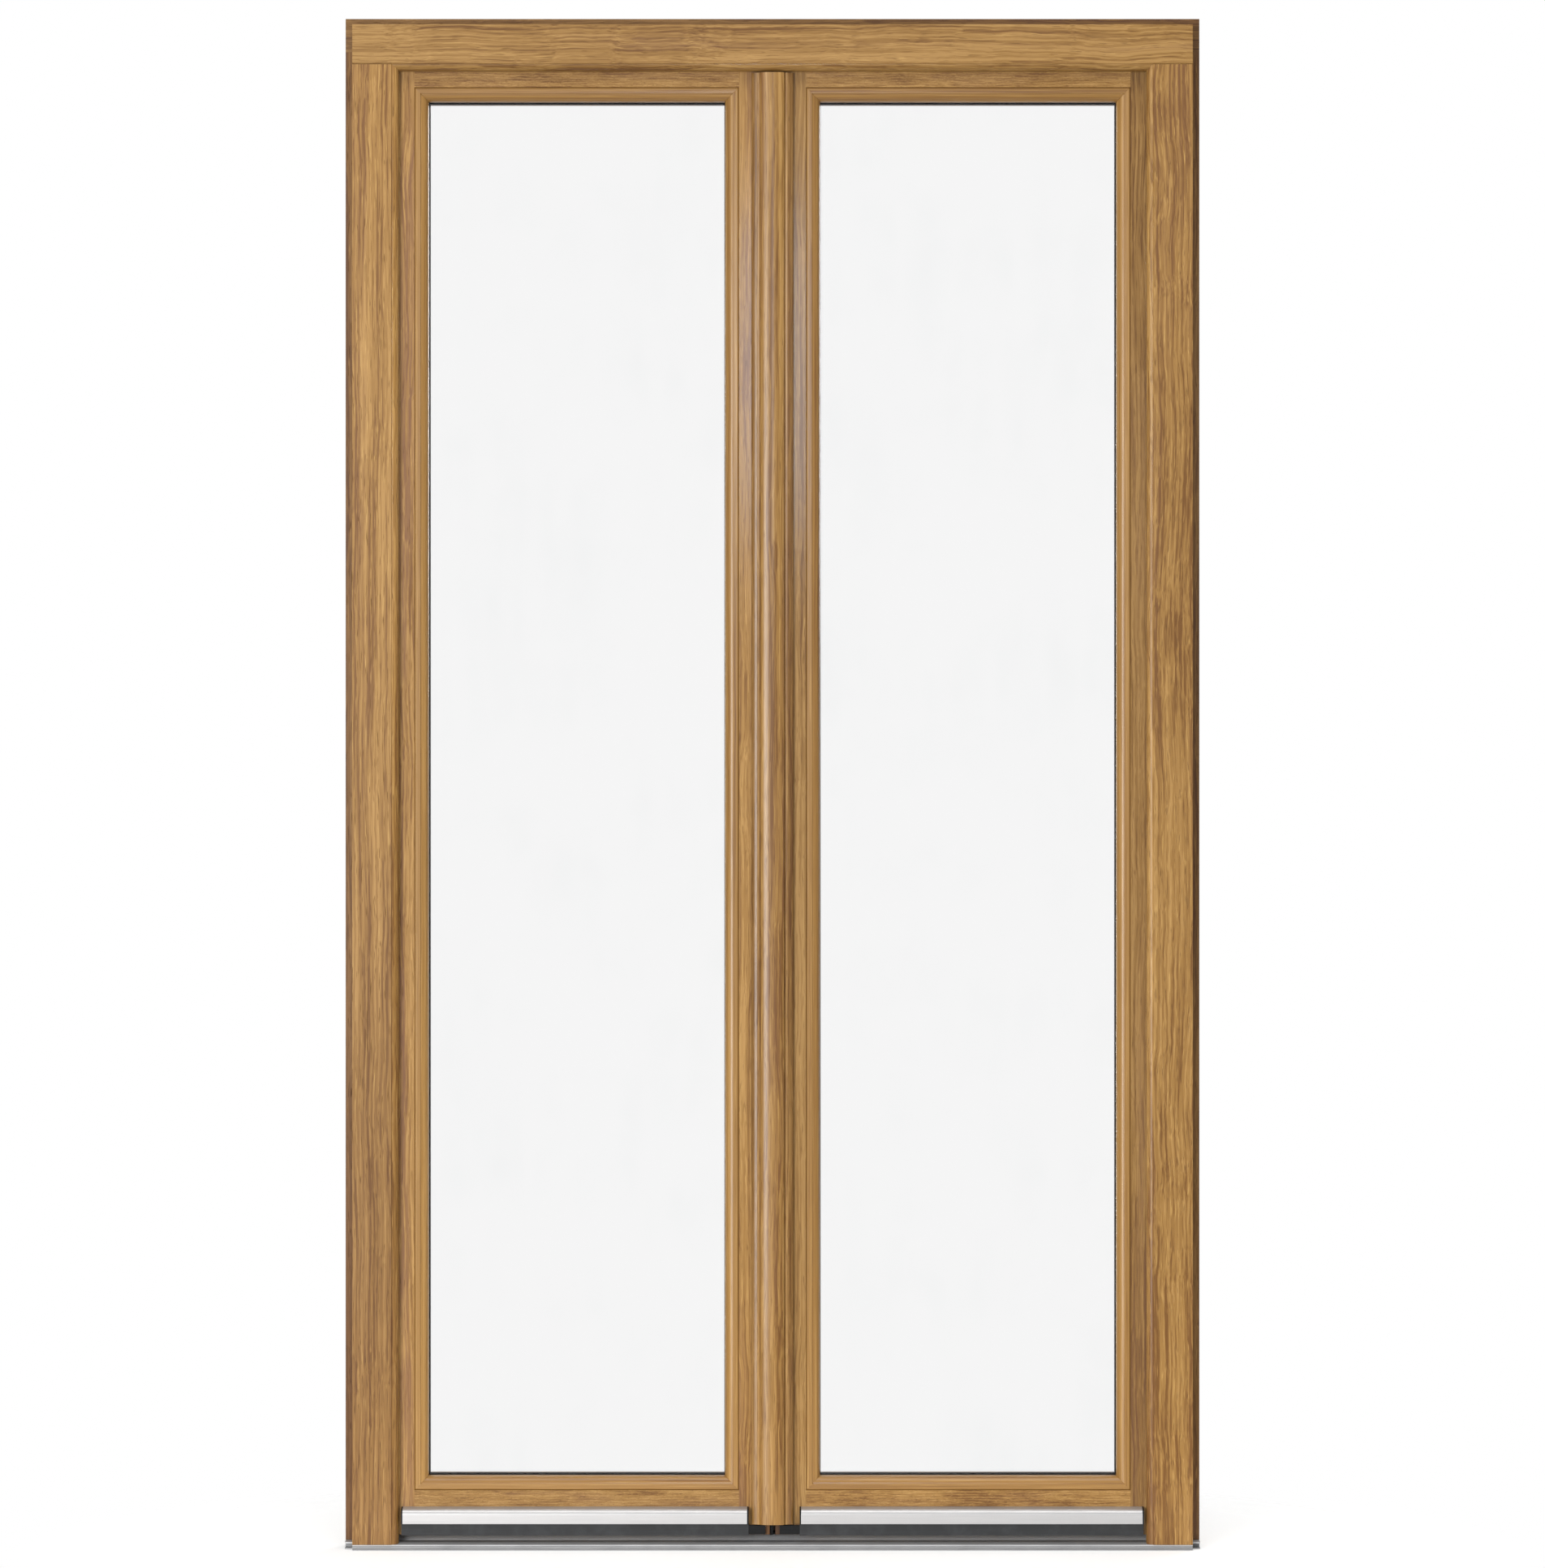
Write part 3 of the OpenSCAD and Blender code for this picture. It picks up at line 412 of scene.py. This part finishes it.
# heart: where the middle of the member lies from the pith, in metres, the grain along its third number
oakCommon = dict(streaks=1.0, mauve=0.75, pores=0.40, flecks=0.25)
stile = dict(oakCommon, along="z", wave=0.020, shorten=1.2)
jamb = dict(oakCommon, along="z", streaks=1.10, flecks=0.45)
rail = dict(oakCommon, along="x", scale=1.8, wave=0.016, shorten=5.5, mauve=0.30, pores=0.50, flecks=0.35)
bead = dict(oakCommon, wave=0.004, shorten=0.6, streaks=0.70, mauve=0.20, pores=0.15, flecks=0.20,
            lacquer=(0.35, 0.18))
oakMembers = {
    "frame_head": dict(oakCommon, along="x", heart=(0.11, 0.05, 1.3), wave=0.030, shorten=1.2,
                       streaks=1.15, mauve=0.85, pores=0.45, flecks=0.30, lift=0.86),
    "frame_jamb_left": dict(jamb, heart=(0.21, 0.02, 4.1), wave=0.014, shorten=1.1, mauve=0.25,
                            pores=0.60, lift=1.03, lowShade=True),
    "frame_jamb_right": dict(jamb, heart=(0.16, 0.09, 7.7), wave=0.024, shorten=1.4, mauve=0.45,
                             pores=0.50, lift=0.96),
    "astragal": dict(oakCommon, along="z", heart=(0.10, 0.13, 2.9), wave=0.014, shorten=1.0,
                     streaks=1.05, mauve=0.55, flecks=0.30, lift=0.93, lacquer=(0.36, 0.19)),
    "passive_hinge_stile": dict(stile, heart=(0.14, 0.03, 9.2), streaks=1.1, mauve=0.80, lift=1.03),
    "passive_meeting_stile": dict(stile, heart=(0.19, 0.06, 12.4), wave=0.018, shorten=1.1, lift=1.0),
    "passive_top_rail": dict(rail, heart=(0.09, 0.04, 3.3), lift=1.01),
    "passive_bottom_rail": dict(rail, heart=(0.12, 0.08, 5.8), mauve=0.35, lift=0.87),
    "active_hinge_stile": dict(stile, heart=(0.13, 0.07, 15.6), streaks=1.1, mauve=0.95, lift=0.74),
    "active_meeting_stile": dict(stile, heart=(0.17, 0.05, 18.1), wave=0.018, shorten=1.1, lift=0.80),
    "active_top_rail": dict(rail, heart=(0.10, 0.06, 21.0), lift=0.99),
    "active_bottom_rail": dict(rail, heart=(0.08, 0.05, 24.4), lift=0.92),
}
beadLift = {"hinge_side": 1.0, "meeting_side": 0.97, "top": 0.97, "bottom": 0.97}
beadHearts = {"passive": 31.0, "active": 47.0}      # where each leaf's first bead lies along the grain
beadStep = Vector((0.02, 0.0, 3.3))                 # from one bead's heart to the next
for leaf, start in beadHearts.items():
    for count, (side, lift) in enumerate(beadLift.items()):
        oakMembers[f"{leaf}_bead_{side}"] = dict(
            bead, along="z" if "side" in side else "x", lift=lift,
            heart=Vector((0.12, 0.05, start)) + beadStep * count)


def lifted(color, factor):
    red, green, blue, alpha = paint(*color)
    return (red * factor, green * factor, blue * factor, alpha)


# how much painted shade a place gets
def paintedShadeAmount(tree, place, name):
    look = paintedShades[name]
    amount = remap(tree, place, *look["rise"], 0.0, look["amount"])
    if "fall" in look:
        amount = math1(tree, "MULTIPLY", amount, remap(tree, place, *look["fall"]))
    return amount


def dressOak(nodeName, look):
    coat, coatRoughness = look.get("lacquer", oakStain["lacquer"])
    material, tree, shader = newMaterial(
        "oak_" + nodeName, Coat_Weight=coat, Coat_Roughness=coatRoughness,
        Specular_IOR_Level=oakStain["gloss"])
    low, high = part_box(nodeName)
    turn = (0.0, math.radians(90), 0.0) if look["along"] == "x" else (0.0, 0.0, 0.0)
    centre = Matrix.Rotation(turn[1], 3, "Y") @ ((low + high) / 2)
    spot = objectCoords(tree, Vector(look["heart"]) - centre, turn, look.get("scale", 1.0))
    coords = addNode(tree, "TexCoord").outputs
    facing = addNode(tree, "SeparateXYZ", {0: coords["Normal"]}).outputs[look["along"].upper()]
    across, inward, up = addNode(tree, "SeparateXYZ", {0: coords["Object"]}).outputs
    # painted shade, multiplied into the oak's colour
    paintedShade = 0.0
    # painted shade in the frame's wall step
    if nodeName.startswith("frame"):
        paintedShade = paintedShadeAmount(tree, inward, "wallStepShade")
    # painted shade on the astragal's side slopes
    if nodeName == "astragal":
        paintedShade = paintedShadeAmount(tree, math1(tree, "ABSOLUTE", across), "astragalSlopeShade")
    # painted shadow on the meeting stiles' feet under the astragal
    if nodeName.endswith("meeting_stile"):
        paintedShade = paintedShadeAmount(tree, up, "footShade")
    # darker towards the left jamb's foot: partly painted fall-off of light, partly the wood's own tone
    if look.get("lowShade"):
        paintedShade = math1(tree, "ADD", paintedShade, paintedShadeAmount(tree, up, "lowEndShade"))
    tones = {name.capitalize(): lifted(oakStain[name], look["lift"])
             for name in ("pale", "middle", "deep", "mauve")}
    effect = placeGroup(tree, oakGrain, {
        **tones, "Pore": paint(*oakStain["pore"]), "Wave": look["wave"], "Shorten": look["shorten"],
        "Streaks": look["streaks"], "Mauve Amount": look["mauve"], "Pore Amount": look["pores"],
        "Fleck Amount": look["flecks"], "End Face": math1(tree, "ABSOLUTE", facing),
        "Painted Shade": paintedShade}, spot)
    finishShader(tree, shader, effect, *oakStain["bump"])
    wear(nodeName, material)
    softenEdges(nodeName, oakStain["edge"])


for nodeName, look in oakMembers.items():
    dressOak(nodeName, look)
print("oak dressed:", len(oakMembers), "members")


# metal, plastic, rubber and glass

metals = {
    "threshold_aluminium": dict(
        color=(192, 192, 192), shade=(146, 146, 147), metallic=0.4, roughness=0.45, streaks=0.5,
        cloud=0.35, edge=0.0008, lowDarkening=0.55, on=("threshold_outer", "threshold_inner")),
    "bar_aluminium": dict(
        color=(188, 186, 185), shade=(166, 165, 165), metallic=0.55, roughness=0.38, streaks=0.35,
        cloud=0.12, edge=0.0004, on=("passive_weather_bar", "active_weather_bar")),
    "zinc_steel": dict(
        color=(196, 198, 200), shade=(150, 152, 156), metallic=1.0, roughness=0.35, streaks=0.3,
        cloud=0.6, edge=0.0004, on=("threshold_screws", "head_keepers")),
    "hinge_zinc": dict(
        color=(204, 205, 206), shade=(160, 162, 165), metallic=1.0, roughness=0.30, streaks=0.15,
        cloud=0.4, edge=0.0008,
        on=("frame_hinges_left", "frame_hinges_right", "passive_hinge_sockets", "active_hinge_sockets")),
    "bolt_steel": dict(
        color=(198, 199, 200), shade=(158, 159, 162), metallic=1.0, roughness=0.30, streaks=0.4,
        cloud=0.3, edge=0.0005,
        on=("passive_bolt_plates", "passive_top_bolt", "passive_bottom_bolt", "lock_face_plate",
            "lock_case", "lock_top_rod", "lock_bottom_rod")),
    "spacer_grey": dict(
        color=(150, 152, 154), shade=(112, 113, 116), metallic=0.9, roughness=0.45, streaks=0.5,
        cloud=0.2, edge=0.0003, on=("passive_pane_spacer", "active_pane_spacer")),
    "knob_brass": dict(
        color=(176, 142, 84), shade=(112, 82, 44), metallic=1.0, roughness=0.34, streaks=0.15,
        cloud=0.55, edge=0.0006, on=("knob", "knob_rose")),
}
skins = {
    "grey_plastic": dict(
        color=(58, 58, 60), bloom=(92, 92, 94), amount=0.35, grain=900, gloss=0.35, roughness=0.5,
        edge=0.0003, on=("threshold_strip", "threshold_keepers")),
    "drip_grey": dict(
        color=(47, 48, 49), bloom=(76, 77, 79), amount=0.45, grain=1300, gloss=0.3, roughness=0.55,
        edge=0.0003, on=("passive_drip_seal", "active_drip_seal")),
    "cap_plastic": dict(
        color=(9, 9, 10), bloom=(22, 22, 23), amount=0.3, grain=1500, gloss=0.2, roughness=0.45,
        edge=0.0004, on=("passive_bar_end_caps", "active_bar_end_caps")),
    "seal_rubber": dict(
        color=(10, 10, 11), bloom=(24, 24, 25), amount=0.35, grain=1600, gloss=0.2, roughness=0.6,
        edge=0.0006, on=("passive_glazing_seals", "active_glazing_seals", "passive_edge_seals",
                         "active_edge_seals", "astragal_seal")),
    "block_plastic": dict(
        color=(34, 34, 36), bloom=(60, 60, 62), amount=0.3, grain=800, gloss=0.3, roughness=0.55,
        edge=0.0003, on=("passive_setting_blocks", "active_setting_blocks")),
    "dowel_beech": dict(
        color=(200, 162, 118), bloom=(172, 132, 88), amount=0.6, grain=700, gloss=0.3, roughness=0.6,
        edge=0.0006, on=("frame_dowels",)),
}
glass = {
    "ior": 1.5,
    "clear": (254, 254, 254),
    "film": (248, 249, 249),
    "filmAmount": 0.3,
    "on": ("passive_pane_outer", "passive_pane_inner", "active_pane_outer", "active_pane_inner"),
}


# bump strength and depth, m
bumps = {"metal": (0.25, 0.00005), "skin": (0.3, 0.00008), "pane": (0.02, 0.0002)}


def metalMaterial(name, look):
    material, tree, shader = newMaterial(name, Metallic=look["metallic"])
    effect = placeGroup(tree, drawnMetal, {
        "Color": paint(*look["color"]), "Shade": paint(*look["shade"]), "Roughness": look["roughness"],
        "Streaks": look["streaks"], "Cloud": look["cloud"], "Low Darkening": look.get("lowDarkening", 0.0)},
        objectCoords(tree))
    finishShader(tree, shader, effect, *bumps["metal"])
    return material


def skinMaterial(name, look):
    material, tree, shader = newMaterial(name, Specular_IOR_Level=look["gloss"])
    effect = placeGroup(tree, mouldedSkin, {
        "Color": paint(*look["color"]), "Bloom": paint(*look["bloom"]), "Bloom Amount": look["amount"],
        "Grain": look["grain"], "Roughness": look["roughness"]}, objectCoords(tree))
    finishShader(tree, shader, effect, *bumps["skin"])
    return material


for maker, table in ((metalMaterial, metals), (skinMaterial, skins)):
    for name, look in table.items():
        look["material"] = maker(name, look)
        for nodeName in look["on"]:
            wear(nodeName, look["material"])
            softenEdges(nodeName, look["edge"])

paneMaterial, paneTree, paneShader = newMaterial("pane_glass", Transmission_Weight=1.0, IOR=glass["ior"])
paneEffect = placeGroup(paneTree, paneDust, {
    "Clear": paint(*glass["clear"]), "Film": paint(*glass["film"]), "Film Amount": glass["filmAmount"]},
    objectCoords(paneTree))
finishShader(paneTree, paneShader, paneEffect, *bumps["pane"])
for nodeName in glass["on"]:
    wear(nodeName, paneMaterial)
print("metal, plastic, rubber and glass dressed")


# small pieces: screw heads, hinge caps, and the block and lip at the feet of the leaves

def newPiece(name, bm, material, body):
    mesh = bpy.data.meshes.new(name)
    bm.normal_update()
    bm.to_mesh(mesh)
    bm.free()
    mesh.materials.append(material)
    mesh.shade_smooth()
    piece = bpy.data.objects.new(name, mesh)
    bpy.context.scene.collection.objects.link(piece)
    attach(piece, body)
    return piece


def ringWall(bm, lower, upper):
    count = len(lower)
    for i in range(count):
        j = (i + 1) % count
        bm.faces.new((lower[i], lower[j], upper[j], upper[i]))


# a closed solid from rings of the same count, the first one at its foot
def closeRings(bm, rings):
    for lower, upper in zip(rings, rings[1:]):
        ringWall(bm, lower, upper)
    bm.faces.new(list(reversed(rings[0])))
    bm.faces.new(rings[-1])


screwHead = {
    "sides": 72,
    "armLength": 0.56,      # of the cross, over the head's radius
    "armWidth": 0.15,
    "floor": 0.12,          # of the cross, over the head's height
    "floorNarrowing": 0.92,
    "domeDrop": 0.75,       # share of the height lost from the middle to the rim
    "shares": (0.0, 0.35, 0.7, 0.94, 1.0),      # rings from the cross to the rim
    "turnStep": 0.7,        # radians from one screw to the next
}
tiny = 1e-6


# the outline of a cross, as its reach at one angle
def crossReach(angle, length, width):
    c, s = max(abs(math.cos(angle)), tiny), max(abs(math.sin(angle)), tiny)
    return max(min(length / c, width / s), min(width / c, length / s))


def addScrewHead(bm, place, facing, radius, height, count):
    turn = Vector(facing).to_track_quat("Z", "Y").to_matrix().to_4x4()
    spin = Matrix.Rotation(screwHead["turnStep"] * count, 4, "Z")
    frameOfScrew = Matrix.Translation(place) @ turn @ spin
    angles = [2 * math.pi * i / screwHead["sides"] for i in range(screwHead["sides"])]
    length, width = screwHead["armLength"] * radius, screwHead["armWidth"] * radius
    reach = [crossReach(angle, length, width) for angle in angles]

    def ring(radii, heights):
        return [bm.verts.new(frameOfScrew @ Vector((r * math.cos(angle), r * math.sin(angle), h)))
                for angle, r, h in zip(angles, radii, heights)]

    def dome(r):
        return height * (1 - screwHead["domeDrop"] * (r / radius) ** 2)

    floor = height * screwHead["floor"]
    bottom = ring([r * screwHead["floorNarrowing"] for r in reach], [floor] * len(angles))
    rings = [bottom]
    for share in screwHead["shares"]:
        radii = [r + (radius - r) * share for r in reach]
        rings.append(ring(radii, [dome(r) for r in radii]))
    rings.append(ring([radius] * len(angles), [0.0] * len(angles)))
    for lower, upper in zip(rings, rings[1:]):
        ringWall(bm, lower, upper)
    middle = bm.verts.new(frameOfScrew @ Vector((0, 0, floor)))
    for i in range(len(angles)):
        bm.faces.new((middle, bottom[i], bottom[(i + 1) % len(angles)]))


def addScrews(name, places, facing, size, material, body):
    radius, height = size
    bm = bmesh.new()
    for count, place in enumerate(places):
        addScrewHead(bm, Vector(place), facing, radius, height, count)
    newPiece(name, bm, material, body)


hinge = {
    "knuckle": 0.0075,          # radius
    "knuckleHeight": 0.033,
    "clearance": 0.0005,
    "capHeight": 0.0028,
    "sides": 48,
    # the cap's rings, as shares of its radius and height
    "capRings": ((1.0, 0.0), (1.0, 0.35), (0.94, 0.68), (0.78, 0.90), (0.5, 1.0), (0.34, 1.0),
                 (0.30, 0.86)),
}


# a low dome with a shallow dimple in its middle
def addHingeCap(bm, centre, up):
    rings = []
    angles = [2 * math.pi * i / hinge["sides"] * up for i in range(hinge["sides"])]
    for share, lift in hinge["capRings"]:
        radius, height = hinge["knuckle"] * share, hinge["capHeight"] * lift * up
        spots = [Vector((radius * math.cos(angle), radius * math.sin(angle), height)) for angle in angles]
        rings.append([bm.verts.new(centre + spot) for spot in spots])
    closeRings(bm, rings)


hingeSides = ((-1, "passive", "frame_hinges_left"), (1, "active", "frame_hinges_right"))
for side, leafName, frameNode in hingeSides:
    low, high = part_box(frameNode)
    axisX = (low.x if side < 0 else high.x) - side * hinge["knuckle"]
    axisY = high.y - hinge["knuckle"]
    low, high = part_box(leafName + "_hinge_sockets")
    lowest, highest = low.z - hinge["clearance"], high.z - hinge["clearance"] - hinge["knuckleHeight"]
    joints = (lowest, (lowest + highest) / 2, highest)
    upper, lower = bmesh.new(), bmesh.new()
    for z in joints:
        addHingeCap(upper, Vector((axisX, axisY, z + hinge["clearance"] + hinge["knuckleHeight"])), 1)
        addHingeCap(lower, Vector((axisX, axisY, z - hinge["knuckleHeight"])), -1)
    zinc = metals["hinge_zinc"]["material"]
    newPiece(leafName + "_hinge_caps", upper, zinc, leafName + "_leaf")
    newPiece("frame_hinge_caps_" + leafName, lower, zinc, "frame")
print("hinge caps placed")


footBlock = {
    "reach": 0.0048,        # from the following leaf's edge into the gap
    "groove": 0.0006,
    "depths": (0.024, 0.036),
    "heights": (0.0186, 0.0372),
    "ribs": 5,
    "chamfer": 0.0008,
}
rubber = skins["seal_rubber"]["material"]


# a ribbed rubber block that closes the gap between the leaves at their feet
def makeFootBlock():
    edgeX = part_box("passive_meeting_stile")[1].x
    front, back = footBlock["depths"]
    steps = footBlock["ribs"] * 2
    outline = [(edgeX, back), (edgeX, front)]
    for i in range(steps + 1):
        inset = footBlock["groove"] if i % 2 else 0.0
        outline.append((edgeX + footBlock["reach"] - inset, front + (back - front) * i / steps))
    bm = bmesh.new()
    low, high = footBlock["heights"]
    chamfer = footBlock["chamfer"]
    rings = []
    for z, shrink in ((low, chamfer), (low + chamfer, 0.0), (high - chamfer, 0.0), (high, chamfer)):
        rings.append([bm.verts.new((x - (shrink if x > edgeX else 0.0), y, z)) for x, y in outline])
    closeRings(bm, rings)
    block = newPiece("foot_block", bm, rubber, "passive_leaf")
    block.data.shade_flat()


footLip = {
    "across": (-0.0185, 0.0140),
    "profile": ((0.0693, 0.0200), (0.0690, 0.0160), (0.0696, 0.0138), (0.0706, 0.0134), (0.0712, 0.0144),
                (0.0710, 0.0168), (0.0716, 0.0186), (0.0738, 0.0194), (0.0738, 0.0200)),
    # how far along each section lies, and how wide it is
    "sections": ((0.0, 0.8), (0.03, 1.0), (0.97, 1.0), (1.0, 0.8)),
}


# a soft lip under the leading leaf's overlap, behind the threshold
def makeFootLip():
    bm = bmesh.new()
    start, end = footLip["across"]
    middle = sum(y for y, z in footLip["profile"]) / len(footLip["profile"])
    rings = []
    for share, width in footLip["sections"]:
        x = start + (end - start) * share
        rings.append([bm.verts.new((x, middle + (y - middle) * width, z)) for y, z in footLip["profile"]])
    closeRings(bm, rings)
    bmesh.ops.recalc_face_normals(bm, faces=bm.faces)
    newPiece("foot_lip", bm, rubber, "active_leaf")


makeFootBlock()
makeFootLip()
print("foot block and lip placed")


plates = {
    "lockScrews": (0.052, 0.310, 0.565, 0.815, 0.975, 1.125, 1.290, 1.545, 1.800, 2.057),
    "boltScrews": (0.0205, 0.2045),     # from the foot of each plate
    "boltPlate": 0.225,                 # its length
    "middle": 0.050,                    # of the edge plates, along y
    "screw": (0.0036, 0.0008),          # radius and height of the heads
    "keeperScrew": (0.0036, 0.0005),
    "keeperEnd": 0.009,                 # from the keeper's end to its screws
    "keeperSides": (0.007, 0.006),      # from its outer and inner side
    "roseScrew": (0.0019, 0.0005),
    "roseReach": 0.0108,
}
screwSteel = metals["zinc_steel"]["material"]
low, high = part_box("lock_face_plate")
addScrews("screws_lock_plate", [(low.x, plates["middle"], z) for z in plates["lockScrews"]],
          (-1, 0, 0), plates["screw"], screwSteel, "active_leaf")
low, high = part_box("passive_bolt_plates")
boltPlateFeet = (low.z, high.z - plates["boltPlate"])
addScrews("screws_bolt_plates", [(high.x, plates["middle"], foot + up) for foot in boltPlateFeet
                                 for up in plates["boltScrews"]],
          (1, 0, 0), plates["screw"], screwSteel, "passive_leaf")
low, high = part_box("head_keepers")
keeperMiddle = high.x - plates["keeperEnd"]
outer, inner = plates["keeperSides"]
addScrews("screws_head_keepers", [(side * keeperMiddle, y, low.z) for side in (-1, 1)
                                  for y in (low.y + outer, high.y - inner)],
          (0, 0, -1), plates["keeperScrew"], screwSteel, "frame")
low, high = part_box("knob_rose")
roseMiddle = (low + high) / 2
addScrews("screws_rose", [(roseMiddle.x, high.y, roseMiddle.z + side * plates["roseReach"])
                          for side in (-1, 1)],
          (0, 1, 0), plates["roseScrew"], metals["knob_brass"]["material"], "active_leaf")
print("screws placed")


# floor, light and background

studio = {
    "backdrop": 1.0,            # what the camera sees past the object
    "throughGlass": 0.95,
    "fill": 0.48,               # soft light from all round
    "floor": (247, 247, 246),
    "floorRoughness": 0.7,
    "floorGlow": 0.29,
    "floorRadius": 1.15,
    "floorSides": 96,
    "floorFade": (0.72, 1.08),  # solid within, gone beyond
    "floorMiddle": (0.0, 0.0, -0.0004),
}
lamps = {
    "key": dict(place=(-3.4, -8.2, 1.0), size=(3.0, 3.0), power=430.0, aim=(0.0, 0.0, 1.0)),
    "top": dict(place=(0.0, -4.2, 8.6), size=(5.0, 5.0), power=330.0, aim=(0.0, 0.0, 0.5)),
    "rear": dict(place=(3.6, 7.0, 3.0), size=(3.0, 3.0), power=260.0, aim=(0.0, 0.0, 1.0),
                 mirrored=False),
    "strip": dict(place=(0.0, -9.3, 2.25), size=(0.24, 0.9), power=44.0, aim=(0.0, 0.0, 1.65),
                  tint=(0.78, 0.86, 0.96)),
}


def areaLight(name, look):
    data = bpy.data.lights.new(name, "AREA")
    data.shape = "RECTANGLE"
    data.size, data.size_y = look["size"]
    data.energy = look["power"]
    data.color = look.get("tint", (1.0, 1.0, 1.0))
    lamp = bpy.data.objects.new(name, data)
    lamp.location = look["place"]
    lamp.visible_glossy = look.get("mirrored", True)
    beam = Vector(look["aim"]) - Vector(look["place"])
    lamp.rotation_euler = beam.to_track_quat("-Z", "Y").to_euler()
    bpy.context.scene.collection.objects.link(lamp)


def makeFloor():
    bm = bmesh.new()
    bmesh.ops.create_circle(bm, cap_ends=True, segments=studio["floorSides"], radius=studio["floorRadius"])
    mesh = bpy.data.meshes.new("floor")
    bm.to_mesh(mesh)
    bm.free()
    floor = bpy.data.objects.new("floor", mesh)
    floor.location = studio["floorMiddle"]
    bpy.context.scene.collection.objects.link(floor)
    material, tree, shader = newMaterial("floor", studio["floorRoughness"])
    shader.inputs["Base Color"].default_value = paint(*studio["floor"])
    shader.inputs["Emission Color"].default_value = (1, 1, 1, 1)
    shader.inputs["Emission Strength"].default_value = studio["floorGlow"]
    place = addNode(tree, "TexCoord").outputs["Object"]
    away = addNode(tree, "VectorMath", {0: place}, operation="LENGTH").outputs["Value"]
    solid, gone = studio["floorFade"]
    feed(tree, shader.inputs["Alpha"], remap(tree, away, solid, gone, 1.0, 0.0))
    mesh.materials.append(material)


# the surroundings: bright to the camera, less so through glass, dimmer as light
def makeSky():
    world = bpy.data.worlds.new("studio")
    bpy.context.scene.world = world
    world.use_nodes = True
    sky = world.node_tree
    rays = addNode(sky, "LightPath").outputs
    seen = math1(sky, "MULTIPLY_ADD", rays["Is Transmission Ray"],
                 studio["throughGlass"] - studio["fill"], studio["fill"])
    seen = math1(sky, "MULTIPLY_ADD", rays["Is Camera Ray"],
                 math1(sky, "SUBTRACT", studio["backdrop"], seen), seen)
    backdrop = sky.nodes["Background"]
    backdrop.inputs["Color"].default_value = (1, 1, 1, 1)
    feed(sky, backdrop.inputs["Strength"], seen)


makeSky()
for lampName, lampLook in lamps.items():
    areaLight(lampName, lampLook)
makeFloor()
print("studio set up")
